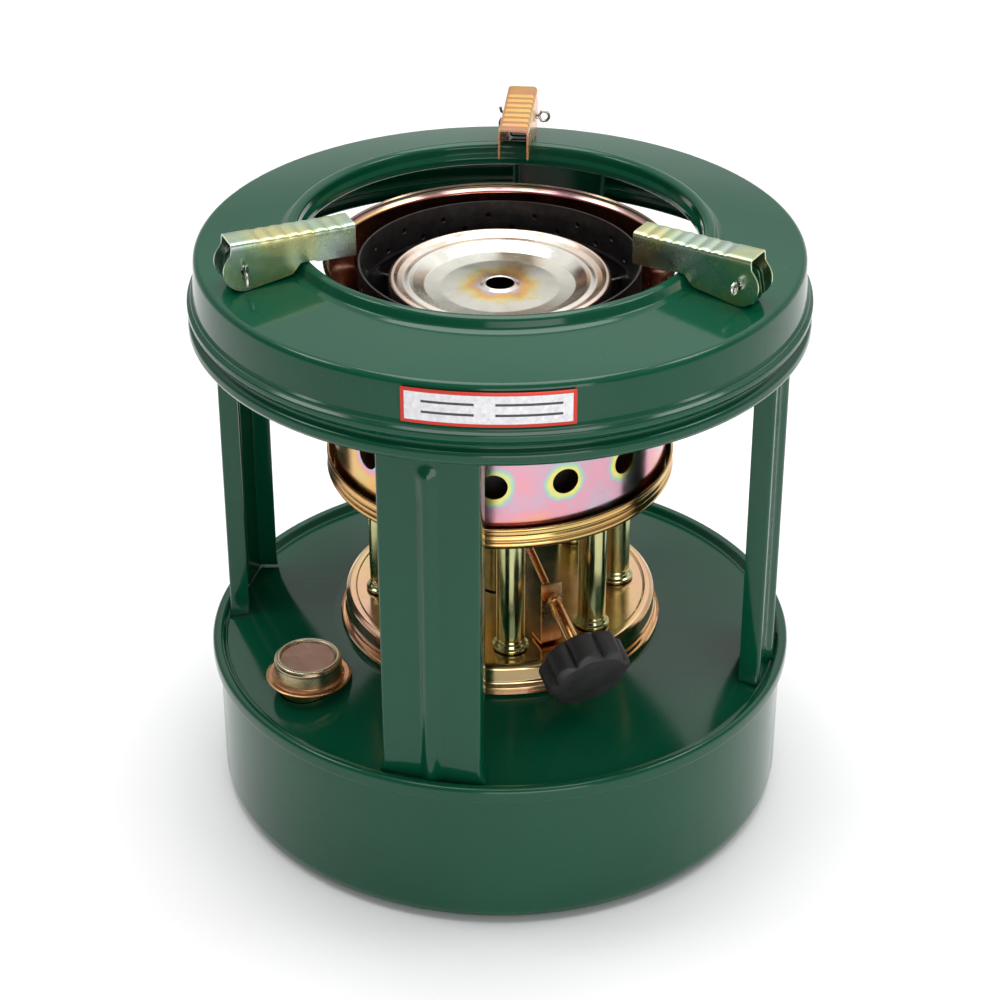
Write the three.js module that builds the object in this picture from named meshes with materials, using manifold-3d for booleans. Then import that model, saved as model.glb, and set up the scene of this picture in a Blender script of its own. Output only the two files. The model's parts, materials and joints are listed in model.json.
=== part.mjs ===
// Camping stove: an eight-wick kerosene stove. A round fuel tank carries four legs and a top ring with three
// folding pot supports. In the middle stand the wick tubes, the burner tray and a casing that lifts off.
// Units are millimetres, +Z is up, the origin is the centre of the tank's underside and -Y is the front.
import * as THREE from "three";
import { mergeVertices } from "three/addons/utils/BufferGeometryUtils.js";
import Module from "manifold-3d";

const wasm = await Module();
wasm.setup();

// ---------------------------------------------------------------- driving dimensions
const sheet = 0.8; // wall of every pressed sheet part
const gap = 0.4; // clearance between two parts that touch or fit

const tankRadius = 118; // outside of the tank wall
const tankHeight = 67.5; // top of the rolled seam
const tankCorner = 8; // round between the tank's wall and floor
const seamProud = 2.7; // how far the rolled seam stands out of the wall
const deckRise = 9.5; // the deck is a flat cone, higher in the middle
const seamDepth = 4.4; // height of the seam
const seamStep = 3.2; // the deck meets the seam this far below its top

const baseMargin = 16.15; // wick circle to the wall of the burner base, a shallow inverted cup
const baseHeight = 12.4;
const baseFlange = 2.6; // width of its rolled foot
const baseSeat = 6.7; // how far its wall stands outside the hole in the deck
const baseLedge = 2; // the deck is level this far past its foot

const wickCount = 8;
const wickCircle = 48.55; // radius on which the wick tubes stand
const firstWickAngle = -85; // degrees from +X; the front is -90
const wickTubeRadius = 5.75;
const wickTubeLength = 56.5; // base plate to tray
const wickPlay = 0.55; // wick to the bore of its tube
const wickProud = 3; // wick standing out of its tube in the working position
const wickDrop = 20; // how far the carrier lowers the wicks
const wickLift = 3; // and how far it raises them
const carrierDrop = 14; // carrier below the top of the burner base
const carrierThickness = 2;
const tubeEntry = 3; // tubes run this far below the top of the burner base
const tubeProud = 2.2; // and stand this far out of the tray
const tubeCollar = 1.6; // width of the collar on the burner base

const trayRim = 10; // height of the tray's beaded rim
const trayFlange = 3.4; // the tray stands out past the casing by this much
const casingGap = 12.3; // outer flame tube to the casing's wall
const casingHeight = 92.7;
const casingHoleCount = 15;
const casingHoleRadius = 5.3;
const casingHoleLift = 26.2; // centres of the air holes above the tray
const firstCasingHole = -92;
const flamePlay = 0.3; // flame tubes to the wick tubes that stand between them
const outerFlameHeight = 90.2;
const innerFlameHeight = 81;
const dishOverhang = 1.2;
const dishHoleRadius = 5.6;
const wireCount = 3; // wires that hold the casing and the flame tubes together
const firstWireAngle = 28;
const wireRadius = 1;
const wireDrop = 12; // wires below the top of the inner flame tube

const ringProud = 4.2; // the ring's beads stand out past the tank's wall by this much
const ringBeads = 3.8; // depth of the beads, shoulder to their outside
const ringOpening = 13.6; // casing to the raised lip round the ring's opening
const ringOverCasing = 13; // top of the lip above the casing
const ringConeDrop = 5.2; // lip down to the top face beside it
const ringConeFall = 3.4; // fall of the top face from there to the shoulder
const ringLipWidth = 6; // crest of the lip out to the top face
const ringWall = 16.4; // plain part of the skirt, below the shoulder
const ringSkirt = 31.6; // shoulder down to the skirt's lower edge
const ringLipDepth = 9.4; // inner lip below its top

const legCount = 4;
const firstLegAngle = -103.6;
const legWidth = 39;
const legFlange = 8.4; // depth of the channel
const legBend = 2; // bend between its web and its flanges
const legRibWidth = 9;
const legRibDepth = 2.2;
const legRibMargin = 9; // rib above the foot
const legTopGap = 3; // top of the legs below the ring's shoulder
const ribUnderRing = 5; // top of the rib below the ring's lower edge

const supportAngles = [85, 203, 329]; // welded on by hand, so not quite evenly spaced
const supportWidth = 12.4;
const supportInset = 5.5; // inner end inside the casing's wall, seen from above
const supportTopAbovePin = 11.2;
const supportLobe = 8.2; // round end about the hinge pin
const supportGrooveCount = 7;
const pinRadius = 1.2;
const pinInset = 13; // hinge pin inside the ring's shoulder
const bracketReach = 5; // half the length of the bracket inside the support

const spindleAngle = -66.7; // the knob stands to the right of the front leg
const spindleUnderTray = 10.5; // where the spindle's line meets the stove's axis
const spindleRadius = 1.5;
const sleeveRadius = 2.7;
const collarWidth = 1.4;
const collarGap = 2.5; // bracket to the collar on each side of it
const bracketInset = 27; // bracket inside the knob, along the spindle
const bracketWidth = 10;
const bracketFoot = 9; // length of its foot
const bracketThickness = 1;
const bracketAbove = 6; // bracket above the spindle
const knobOutset = 18.7; // knob's centre outside the burner base
const knobLift = 21.2; // and above the deck
const knobRadius = 17.5;
const knobThickness = 15.5;
const knobLobes = 8;
const knobLobeDepth = 3;
const knobBevel = 1.6;
const knobSocket = 8; // depth of the hole for the spindle
const pinionTeeth = 8;
const pinionPitchRadius = 3.2;
const pinionAddendum = 0.75;
const pinionDedendum = 1;
const pinionWidth = 5;
const toothFoot = 0.34; // half widths of a tooth, as shares of the pitch
const toothTip = 0.1;
const rackWidth = 3.6;
const rackBack = 2.4; // thickness behind the teeth
const guideRadius = 9.4; // tube round the rack

const capAngle = 213;
const capRadius = 13.7;
const capHeight = 9.6;
const capFlange = 3.7;
const neckHeight = 6;
const neckDepth = 5; // neck below the deck
const neckPlay = 0.6;

const labelAngle = -92;
const labelSpan = 30; // degrees
const labelMargin = 1.2; // above and below it on the skirt

const roundSteps = 32; // segments round the large turned parts
const fillerSteps = 20; // round the filler and the guide tube
const smallSteps = 10; // segments round tubes and rods

// ---------------------------------------------------------------- dependent dimensions
const baseRadius = wickCircle + baseMargin;
const deckHoleRadius = baseRadius - baseSeat;
const deckInner = baseRadius + baseFlange + baseLedge; // the deck is level up to here
const deckOuter = tankRadius - seamProud; // and meets the seam here
const deckEdge = tankHeight - seamStep;
const deckTop = deckEdge + deckRise;
const baseFoot = deckTop + gap;
const baseTop = baseFoot + baseHeight;
const trayFloor = baseTop + wickTubeLength + gap;
const burnerFoot = trayFloor + sheet + gap; // underside of everything that stands on the tray
const wickRadius = wickTubeRadius - sheet - wickPlay;
const outerFlameRadius = wickCircle + wickTubeRadius + flamePlay;
const innerFlameRadius = wickCircle - wickTubeRadius - flamePlay;
const dishRadius = innerFlameRadius + dishOverhang;
const casingRadius = outerFlameRadius + casingGap;
const casingTop = burnerFoot + casingHeight;
const trayRadius = casingRadius + trayFlange;
const ringRadius = tankRadius + ringProud;
const ringShoulderRadius = ringRadius - ringBeads;
const ringCrestRadius = casingRadius + ringOpening;
const ringTop = casingTop + ringOverCasing;
const ringShoulder = ringTop - ringConeDrop - ringConeFall;
const ringBottom = ringShoulder - ringSkirt;
const coneInner = ringCrestRadius + ringLipWidth; // the ring's flat cone starts here
const pinCircle = ringShoulderRadius - pinInset;
const supportReach = pinCircle - casingRadius + supportInset;
const capCircle = (deckInner + deckOuter) / 2;
const knobCircle = baseRadius + knobOutset;
const knobHeight = deckTop + knobLift;
const spindleAxisHeight = trayFloor - spindleUnderTray;
const spindleFall = spindleAxisHeight - knobHeight;
const spindleTilt = THREE.MathUtils.radToDeg(Math.atan2(spindleFall, knobCircle));
const neckOuter = capRadius - sheet - gap - neckPlay;
const carrierHeight = baseTop - carrierDrop;
const tubeFoot = baseTop - tubeEntry;
const tubeTop = trayFloor + sheet + tubeProud;
const wireHeight = burnerFoot + innerFlameHeight - wireDrop;

// Height of the ring's top face and of the deck at a radius.
const coneAt = (r) => {
  const share = (r - coneInner) / (ringShoulderRadius - coneInner);
  return ringTop - ringConeDrop - ringConeFall * share;
};
const deckAt = (r) => {
  const share = Math.max(0, (r - deckInner) / (deckOuter - deckInner));
  return deckTop - deckRise * share;
};
const pinHeight = coneAt(pinCircle) + supportLobe + gap;

// The legs' webs are flat: their corners touch the circle just inside the seam.
const legRadius = Math.sqrt((deckOuter - 2 * gap) ** 2 - (legWidth / 2 - legBend) ** 2);

// ---------------------------------------------------------------- finishes
const finish = (color, roughness, metalness) =>
  new THREE.MeshStandardMaterial({ color, roughness, metalness });
const greenPaint = () => finish(0x2f5f45, 0.25, 0);
const zincYellow = () => finish(0xc2a86a, 0.3, 1);
const zincPink = () => finish(0xc99a92, 0.3, 1);
const darkSteel = () => finish(0x4a4845, 0.5, 1);
const brightSteel = () => finish(0xc9c5bb, 0.25, 1);
const blackPlastic = () => finish(0x1d1e20, 0.55, 0);
const cotton = () => finish(0xd8d0bd, 0.95, 0);
const rubber = () => finish(0x222222, 0.8, 0);
const platePrint = () => finish(0xd5d3cf, 0.35, 0.4);

// ---------------------------------------------------------------- geometry helpers
const rad = THREE.MathUtils.degToRad;
const stove = new THREE.Group();

// A point at radius r, angle a (degrees) and height z.
const polar = (r, a, z) => new THREE.Vector3(r * Math.cos(rad(a)), r * Math.sin(rad(a)), z);

// A closed geometry as a solid that can be joined and cut.
function solidOf(geometry) {
  const bare = geometry.clone();
  bare.deleteAttribute("normal");
  bare.deleteAttribute("uv");
  const merged = mergeVertices(bare, 1e-4);
  const vertProperties = new Float32Array(merged.attributes.position.array);
  const triVerts = new Uint32Array(merged.index.array);
  return new wasm.Manifold(new wasm.Mesh({ numProp: 3, vertProperties, triVerts }));
}

function geometryOf(solid) {
  const mesh = solid.getMesh();
  const geometry = new THREE.BufferGeometry();
  geometry.setAttribute("position", new THREE.BufferAttribute(mesh.vertProperties, 3));
  geometry.setIndex(new THREE.BufferAttribute(mesh.triVerts, 1));
  return geometry;
}

const cut = (geometry, ...tools) =>
  geometryOf(tools.reduce((body, tool) => body.subtract(solidOf(tool)), solidOf(geometry)));
const join = (geometry, ...more) =>
  geometryOf(more.reduce((body, piece) => body.add(solidOf(piece)), solidOf(geometry)));

// Points along an arc in the (radius, height) plane, angles in degrees.
function arc(r, z, radius, from, to, steps) {
  return Array.from({ length: steps + 1 }, (_, i) => {
    const a = rad(from + ((to - from) * i) / steps);
    return [r + radius * Math.cos(a), z + radius * Math.sin(a)];
  });
}

// The closed outline of a sheet of the given thickness that follows an open line.
function sheetOutline(line, thickness) {
  const side = (sign) =>
    line.map(([r, z], i) => {
      const before = line[Math.max(i - 1, 0)];
      const after = line[Math.min(i + 1, line.length - 1)];
      const came = new THREE.Vector2(r - before[0], z - before[1]).normalize();
      const goes = new THREE.Vector2(after[0] - r, after[1] - z).normalize();
      const along = came.clone().add(goes).normalize();
      const stretch = 1 / Math.max(along.dot(i === 0 ? goes : came), 0.5);
      const offset = ((sign * thickness) / 2) * stretch;
      return [r - along.y * offset, z + along.x * offset];
    });
  return [...side(1), ...side(-1).reverse()];
}

// Turns an outline in the (radius, height) plane about the Z axis.
function turned(outline, steps) {
  const closed = [...outline, outline[0]];
  let area = 0;
  for (let i = 0; i < outline.length; i++) {
    area += closed[i][0] * closed[i + 1][1] - closed[i + 1][0] * closed[i][1];
  }
  const ordered = area > 0 ? closed : closed.reverse();
  const points = ordered.map(([r, z]) => new THREE.Vector2(Math.max(r, 0), z));
  return new THREE.LatheGeometry(points, steps).rotateX(Math.PI / 2);
}

const turnedSheet = (line, steps = roundSteps) => turned(sheetOutline(line, sheet), steps);

// A solid rod along Z from z0 to z1.
function rod(radius, z0, z1, steps = smallSteps) {
  const geometry = new THREE.CylinderGeometry(radius, radius, z1 - z0, steps);
  return geometry.rotateX(Math.PI / 2).translate(0, 0, (z0 + z1) / 2);
}

function box(x0, x1, y0, y1, z0, z1) {
  const geometry = new THREE.BoxGeometry(x1 - x0, y1 - y0, z1 - z0);
  return geometry.translate((x0 + x1) / 2, (y0 + y1) / 2, (z0 + z1) / 2);
}

// A flat plate with the given outline in the XZ plane, from y0 to y1.
function plate(points, y0, y1) {
  const shape = new THREE.Shape(points.map(([x, z]) => new THREE.Vector2(x, z)));
  const geometry = new THREE.ExtrudeGeometry(shape, { depth: y1 - y0, bevelEnabled: false });
  return geometry.rotateX(Math.PI / 2).translate(0, y1, 0);
}

// A bar with the given outline in the YZ plane, from x0 to x1.
function bar(points, x0, x1) {
  const shape = new THREE.Shape(points.map(([y, z]) => new THREE.Vector2(y, z)));
  const geometry = new THREE.ExtrudeGeometry(shape, { depth: x1 - x0, bevelEnabled: false });
  const turn = new THREE.Matrix4().makeBasis(
    new THREE.Vector3(0, 1, 0),
    new THREE.Vector3(0, 0, 1),
    new THREE.Vector3(1, 0, 0),
  );
  return geometry.applyMatrix4(turn).translate(x0, 0, 0);
}

function add(name, geometry, material, place = stove) {
  const mesh = new THREE.Mesh(geometry, material);
  mesh.name = name;
  place.add(mesh);
  return mesh;
}

// A group whose X axis points outwards at the given angle.
function spoke(angle) {
  const group = new THREE.Group();
  group.rotation.z = rad(angle);
  stove.add(group);
  return group;
}

// ---------------------------------------------------------------- fuel tank
function buildTank() {
  const half = sheet / 2;
  const seam = tankHeight - seamDepth;
  const pan = [
    [6, half],
    ...arc(tankRadius - tankCorner, tankCorner, tankCorner - half, -90, 0, 4),
    [tankRadius - half, seam - 2.2],
    [tankRadius + 1, seam - 1],
  ];
  const floorDisc = rod(8, 0, sheet, roundSteps);
  add("tank_pan", join(turnedSheet(pan), floorDisc), greenPaint());

  // The deck falls outwards, drops beside the seam and is rolled over the top of the tank's wall.
  const seamOuter = tankRadius + seamProud - half;
  const deck = [
    [deckHoleRadius, deckTop - half],
    [deckInner, deckTop - half],
    [deckOuter, deckEdge - half],
    [deckOuter + 1.6, tankHeight - half],
    [seamOuter - 0.9, tankHeight - half],
    [seamOuter, tankHeight - 1.6],
    [seamOuter, seam - 1.4],
  ];
  const neckHole = rod(neckOuter + gap, 0, tankHeight * 2, fillerSteps);
  neckHole.translate(...polar(capCircle, capAngle, 0));
  add("tank_deck", cut(turnedSheet(deck), neckHole), greenPaint());
}

// ---------------------------------------------------------------- filler
function buildFiller() {
  const foot = deckAt(capCircle);
  const place = new THREE.Group();
  place.position.copy(polar(capCircle, capAngle, 0));
  stove.add(place);
  const mid = neckOuter - sheet / 2;
  const neck = [
    [mid, foot - neckDepth],
    [mid, foot + neckHeight],
  ];
  add("filler_neck", turnedSheet(neck, fillerSteps), zincYellow(), place);

  const seat = deckAt(capCircle - capRadius - capFlange) + gap;
  const top = seat + capHeight;
  const wall = capRadius - sheet / 2;
  const shell = [
    [wall + capFlange, seat + sheet / 2],
    [wall + 0.6, seat + sheet / 2],
    [wall, seat + 1.4],
    [wall, top - 1.6],
    [wall - 1.2, top - sheet / 2],
    [1, top - sheet / 2],
  ];
  const lid = rod(2, top - sheet, top, fillerSteps);
  add("filler_cap", join(turnedSheet(shell, fillerSteps), lid), zincPink(), place);
  const gasketTop = top - sheet - gap;
  const gasketOuter = wall - 1.8;
  const gasket = [
    [6, gasketTop - 1.2],
    [gasketOuter, gasketTop - 1.2],
    [gasketOuter, gasketTop],
    [6, gasketTop],
  ];
  add("filler_gasket", turned(gasket, fillerSteps), rubber(), place);
}

// ---------------------------------------------------------------- burner base and wick tubes
function buildBase() {
  const wall = baseRadius - sheet / 2;
  const cup = [
    [wall + baseFlange, baseFoot + sheet / 2],
    [wall + 0.7, baseFoot + sheet / 2],
    [wall, baseFoot + 1.4],
    [wall, baseTop - 1.6],
    [wall - 1.2, baseTop - sheet / 2],
    [guideRadius + gap, baseTop - sheet / 2],
  ];
  const holes = wickAngles().map((a) => {
    const at = polar(wickCircle, a, 0);
    return rod(wickTubeRadius + gap, baseTop - 4, baseTop + 4).translate(at.x, at.y, 0);
  });
  add("burner_base", cut(turnedSheet(cup), ...holes), zincPink());
  const sealTop = baseFoot + 1.6;
  const seal = [
    [deckHoleRadius + 1, baseFoot],
    [wall - 1, baseFoot],
    [wall - 1, sealTop],
    [deckHoleRadius + 1, sealTop],
  ];
  add("base_gasket", turned(seal, roundSteps), rubber());
}

function wickAngles() {
  return Array.from({ length: wickCount }, (_, i) => firstWickAngle + (360 / wickCount) * i);
}

function buildWickTubes() {
  const bore = wickTubeRadius - sheet;
  const collar = wickTubeRadius + tubeCollar;
  wickAngles().forEach((angle, i) => {
    const outline = [
      [bore, tubeFoot],
      [wickTubeRadius, tubeFoot],
      [wickTubeRadius, baseTop + gap],
      [collar, baseTop + gap],
      [collar, baseTop + 1.4],
      [wickTubeRadius, baseTop + 2.2],
      [wickTubeRadius, tubeTop],
      [bore, tubeTop],
    ];
    const at = polar(wickCircle, angle, 0);
    add(`wick_tube_${i + 1}`, turned(outline, smallSteps).translate(at.x, at.y, 0), zincYellow());
  });
}

// ---------------------------------------------------------------- wick carrier, rack and guide
function buildWicks() {
  const top = tubeTop + wickProud;
  const lowest = sheet + wickDrop + 3;
  wickAngles().forEach((angle, i) => {
    const at = polar(wickCircle, angle, 0);
    add(`wick_${i + 1}`, rod(wickRadius, lowest, top, 10).translate(at.x, at.y, 0), cotton());
  });
  const z0 = carrierHeight;
  const z1 = z0 + carrierThickness;
  const inner = guideRadius + 3;
  const rim = wickCircle + wickRadius + 2.4;
  const disc = [
    [inner, z0],
    [rim, z0],
    [rim, z1],
    [inner, z1],
  ];
  const holes = wickAngles().map((a) => {
    const at = polar(wickCircle, a, 0);
    return rod(wickRadius + gap, z0 - 1, z1 + 1).translate(at.x, at.y, 0);
  });
  // A bridge across the open middle holds the foot of the rack.
  const bridge = box(-inner - 2, inner + 2, -3, 3, z0, z1).rotateZ(rad(spindleAngle));
  add("wick_carrier", cut(join(turned(disc, roundSteps), bridge), ...holes), darkSteel());
}

// The rack lies in the spindle's own vertical plane: X outwards, Y to the side of the rack, Z up. Its teeth
// lie along the sloping spindle, so that the pinion meets them square.
function buildRack(place) {
  const pitch = (2 * Math.PI * pinionPitchRadius) / pinionTeeth;
  const rise = pitch / Math.cos(rad(spindleTilt));
  const face = pinionPitchRadius - pinionAddendum + gap;
  const root = pinionPitchRadius + pinionDedendum;
  const back = root + rackBack;
  const side = rackWidth / 2;
  const low = carrierHeight + carrierThickness + gap;
  const below = Math.ceil((wickLift + 4) / rise);
  const above = Math.ceil((wickDrop + 4) / rise);
  const high = spindleAxisHeight + above * rise;
  const envelope = solidOf(box(-side, side, face, back, low, high));
  let body = solidOf(box(-side, side, root, back, low, high));
  for (let k = -below; k < above; k++) {
    const middle = (k + 0.5) * pitch;
    const foot = pitch * toothFoot;
    const tip = pitch * toothTip;
    const outline = [
      [root + 0.3, middle - foot],
      [root + 0.3, middle + foot],
      [face, middle + tip],
      [face, middle - tip],
    ];
    const tooth = bar(outline, -rackWidth * 2, rackWidth * 2).rotateY(rad(spindleTilt));
    tooth.translate(0, 0, spindleAxisHeight);
    body = body.add(solidOf(tooth).intersect(envelope));
  }
  add("wick_rack", geometryOf(body), brightSteel(), place);
}

function buildSpindle() {
  const place = spoke(spindleAngle);
  buildRack(place);

  // The guide tube stands on the burner base; the spindle enters it through a hole in its side.
  const guideWall = guideRadius - sheet / 2;
  const guide = [
    [guideWall, baseTop - tubeEntry],
    [guideWall, trayFloor - gap],
  ];
  const hole = rod(sleeveRadius, guideRadius - 5.4, guideRadius + 10.6);
  hole.rotateY(rad(90 + spindleTilt)).translate(0, 0, spindleAxisHeight);
  add("rack_guide", cut(turnedSheet(guide, fillerSteps), hole), zincYellow(), place);

  // Along the sloping line: pinion at the axis, bracket and collars, sleeve, then the knob.
  const line = new THREE.Group();
  line.position.z = spindleAxisHeight;
  line.rotation.y = rad(90 + spindleTilt);
  place.add(line);
  const knobMiddle = knobCircle / Math.cos(rad(spindleTilt));
  const knobInner = knobMiddle - knobThickness / 2;
  const bracketAt = knobInner - bracketInset;
  const innerEnd = -pinionWidth / 2 - 1.5;
  const inside = bracketAt - collarGap;
  const outside = bracketAt + collarGap;
  const spindleEnd = knobInner + knobSocket;
  const collarRadius = sleeveRadius + 0.5;
  const spindle = [
    [0, innerEnd],
    [spindleRadius, innerEnd],
    [spindleRadius, inside - collarWidth],
    [sleeveRadius, inside - collarWidth],
    [sleeveRadius, inside],
    [spindleRadius, inside],
    [spindleRadius, outside],
    [collarRadius, outside],
    [collarRadius, outside + collarWidth],
    [sleeveRadius, outside + collarWidth],
    [sleeveRadius, spindleEnd],
    [0, spindleEnd],
  ];
  add("spindle", turned(spindle, smallSteps), zincPink(), line);
  add("pinion", pinionGeometry(), brightSteel(), line);
  add("knob", knobGeometry(knobInner), blackPlastic(), line);
  buildSpindleBracket(place, bracketAt);
}

// A tooth points at the rack, on the spindle's +Y side.
function pinionGeometry() {

  const teeth = Array.from({ length: pinionTeeth * 4 }, (_, i) => {
    const step = (2 * Math.PI) / pinionTeeth;
    const share = [-toothFoot, -toothTip, toothTip, toothFoot][i % 4];
    const outer = i % 4 === 1 || i % 4 === 2;
    const r = outer ? pinionPitchRadius + pinionAddendum - gap / 2 : pinionPitchRadius - pinionDedendum;
    const a = (Math.floor(i / 4) + share) * step;
    return new THREE.Vector2(r * Math.cos(a), r * Math.sin(a));
  });
  const gearShape = new THREE.Shape(teeth);
  const bore = new THREE.Path();
  bore.absarc(0, 0, spindleRadius + 0.3, 0, 2 * Math.PI, true);
  gearShape.holes.push(bore);
  const gear = new THREE.ExtrudeGeometry(gearShape, {
    depth: pinionWidth,
    bevelEnabled: false,
    curveSegments: smallSteps,
  });
  return gear.rotateZ(Math.PI / 2).translate(0, 0, -pinionWidth / 2);
}

function knobGeometry(inner) {
  const steps = knobLobes * 4;
  const outline = Array.from({ length: steps }, (_, i) => {
    const a = (2 * Math.PI * i) / steps;
    const r = knobRadius - (knobLobeDepth / 2) * (1 - Math.cos(knobLobes * a));
    return new THREE.Vector2(r * Math.cos(a), r * Math.sin(a));
  });
  const body = new THREE.ExtrudeGeometry(new THREE.Shape(outline), {
    depth: knobThickness - 2 * knobBevel,
    bevelEnabled: true,
    bevelThickness: knobBevel,
    bevelSize: knobBevel,
    bevelOffset: -knobBevel,
    bevelSegments: 1,
  });
  body.translate(0, 0, inner + knobBevel);
  return cut(body, rod(sleeveRadius + gap, inner - 1, inner + knobSocket + gap));
}

// A strip stands on the burner base between two wick tubes and carries the spindle.
function buildSpindleBracket(place, along) {
  const tilt = rad(spindleTilt);
  const r = along * Math.cos(tilt);
  const z = spindleAxisHeight - along * Math.sin(tilt);
  const foot = baseTop + gap;
  const half = bracketWidth / 2;
  const face = r + bracketThickness / 2;
  const strip = box(face - bracketThickness, face, -half, half, foot, z + bracketAbove);
  const base = box(r - bracketFoot, r, -half, half, foot, foot + bracketThickness);
  const hole = rod(spindleRadius + 0.35, -bracketWidth, bracketWidth);
  hole.rotateY(Math.PI / 2 + tilt).translate(r, 0, z);
  add("spindle_bracket", cut(join(strip, base), hole), zincYellow(), place);
}

// ---------------------------------------------------------------- tray, casing, flame tubes and dish
function buildTray() {
  const rim = trayRadius - sheet / 2;
  const z = trayFloor + sheet / 2;
  const line = [
    [guideRadius + 12, z],
    [rim - 2.2, z],
    [rim - 0.4, z + 1.2],
    [rim, z + 3],
    [rim - 1.2, z + 4.6],
    [rim, z + 6.4],
    [rim, trayFloor + trayRim],
  ];
  const holes = wickAngles().map((a) => {
    const at = polar(wickCircle, a, 0);
    return rod(wickTubeRadius + gap, trayFloor - 2, trayFloor + 3).translate(at.x, at.y, 0);
  });
  add("burner_tray", cut(turnedSheet(line), ...holes), zincPink());
}

function buildCasing() {
  const wall = casingRadius - sheet / 2;
  const top = casingTop;
  const line = [
    [wall - 1.6, burnerFoot + sheet / 2],
    [wall, burnerFoot + 1.6],
    [wall, top - 3.6],
    [wall + 1.3, top - 2.4],
    [wall + 2.2, top - 1.3],
    [wall + 1.3, top - sheet / 2],
  ];
  const holeHeight = trayFloor + sheet + casingHoleLift;
  const holes = Array.from({ length: casingHoleCount }, (_, i) =>
    rod(casingHoleRadius, casingRadius - 5, casingRadius + 5, 8)
      .rotateY(Math.PI / 2)
      .translate(0, 0, holeHeight)
      .rotateZ(rad(firstCasingHole + (360 / casingHoleCount) * i)),
  );
  add("burner_casing", cut(turnedSheet(line), ...holes, ...crossWires(gap)), zincPink());
}

// The wires run through the casing and both flame tubes and hold them together.
function crossWires(extra = 0) {
  return Array.from({ length: wireCount }, (_, i) =>
    rod(wireRadius + extra, innerFlameRadius - 3, casingRadius + 1.5, 8)
      .rotateY(Math.PI / 2)
      .translate(0, 0, wireHeight)
      .rotateZ(rad(firstWireAngle + (360 / wireCount) * i)),
  );
}

function flameTube(middle, height) {
  const line = [
    [middle, burnerFoot],
    [middle, burnerFoot + height],
  ];
  return cut(turnedSheet(line), ...crossWires(gap));
}

function buildFlameTubes() {
  const half = sheet / 2;
  add("outer_flame_tube", flameTube(outerFlameRadius + half, outerFlameHeight), darkSteel());
  add("inner_flame_tube", flameTube(innerFlameRadius - half, innerFlameHeight), darkSteel());
  crossWires().forEach((wire, i) => add(`cross_wire_${i + 1}`, wire, brightSteel()));
}

function buildDish() {
  const top = burnerFoot + innerFlameHeight + gap + sheet / 2;
  const skirt = innerFlameRadius + gap + sheet / 2;
  const dish = [
    [skirt, top - 4],
    [skirt, top + 0.4],
    [dishRadius - 1.6, top + 1.6],
    [dishRadius - 6, top + 0.6],
    [dishRadius - 8, top - 0.2 + sheet],
    [dishRadius - 12, top],
    [dishHoleRadius + 6, top + 0.6],
    [dishHoleRadius, top + 0.9],
  ];
  add("flame_dish", turnedSheet(dish), brightSteel());
}

// ---------------------------------------------------------------- top ring, legs and label
function buildRing() {
  const half = sheet / 2;
  const crest = ringCrestRadius;
  const shoulder = ringShoulderRadius;
  const bead = ringRadius - half;
  const line = [
    [crest - 1.2, ringTop - ringLipDepth],
    [crest - 2.4, ringTop - ringLipDepth + 1.4],
    [crest - 2, ringTop - 2.4],
    [crest, ringTop - half],
    [crest + 2.4, ringTop - 1.6],
    [coneInner, coneAt(coneInner) - half],
    [shoulder - 1.4, coneAt(shoulder - 1.4) - half],
    [shoulder, ringShoulder - 1.6],
    [shoulder + 1, ringShoulder - ringWall],
    [bead, ringShoulder - ringWall - 2.2],
    [bead - 0.6, ringShoulder - ringWall - 5],
    [bead - 2.4, ringShoulder - ringWall - 7.6],
    [bead - 0.4, ringBottom + 4.2],
    [bead, ringBottom + 2.2],
    [bead - 1.8, ringBottom + half],
  ];
  add("top_ring", turnedSheet(line), greenPaint());
}

// Each leg is a pressed channel, its web outwards, with a round-ended rib down the middle.
function buildLegs() {
  const foot = deckAt(legRadius - legFlange) + gap;
  const tabFoot = deckAt(legRadius - sheet) + gap;
  const top = ringShoulder - legTopGap;
  const half = legWidth / 2 - sheet / 2;
  const ribLow = foot + legRibMargin;
  const ribHigh = ringBottom - ribUnderRing;
  const section = sheetOutline(
    [
      [-legFlange, half],
      [-legBend, half],
      [-sheet / 2, half - legBend],
      [-sheet / 2, -half + legBend],
      [-legBend, -half],
      [-legFlange, -half],
    ],
    sheet,
  );
  for (let i = 0; i < legCount; i++) {
    const shape = new THREE.Shape(section.map(([x, y]) => new THREE.Vector2(x, y)));
    const channel = new THREE.ExtrudeGeometry(shape, { depth: top - foot, bevelEnabled: false });
    channel.translate(legRadius, 0, foot);
    const flat = half - legBend;
    const tab = box(legRadius - sheet, legRadius, -flat, flat, tabFoot, foot + 1);
    const rib = legRib(ribLow, ribHigh);
    const groove = legRib(ribLow + sheet, ribHigh - sheet, sheet);
    const pressed = cut(join(channel, tab, rib), groove);
    add(`leg_${i + 1}`, pressed, greenPaint(), spoke(firstLegAngle + (360 / legCount) * i));
  }
}

// The rib's body; with a wall taken off, the groove behind it, which runs out through the channel's back.
function legRib(z0, z1, wall = 0) {
  const half = legRibWidth / 2 - wall;
  const out = legRadius + legRibDepth - wall;
  const back = legRadius - (wall ? 3 : sheet);
  const outline = [
    [-half, z0 + half],
    [-half * 0.7, z0 + half * 0.3],
    [0, z0],
    [half * 0.7, z0 + half * 0.3],
    [half, z0 + half],
    [half, z1 - half],
    [half * 0.7, z1 - half * 0.3],
    [0, z1],
    [-half * 0.7, z1 - half * 0.3],
    [-half, z1 - half],
  ];
  return bar(outline, back, out);
}

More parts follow.
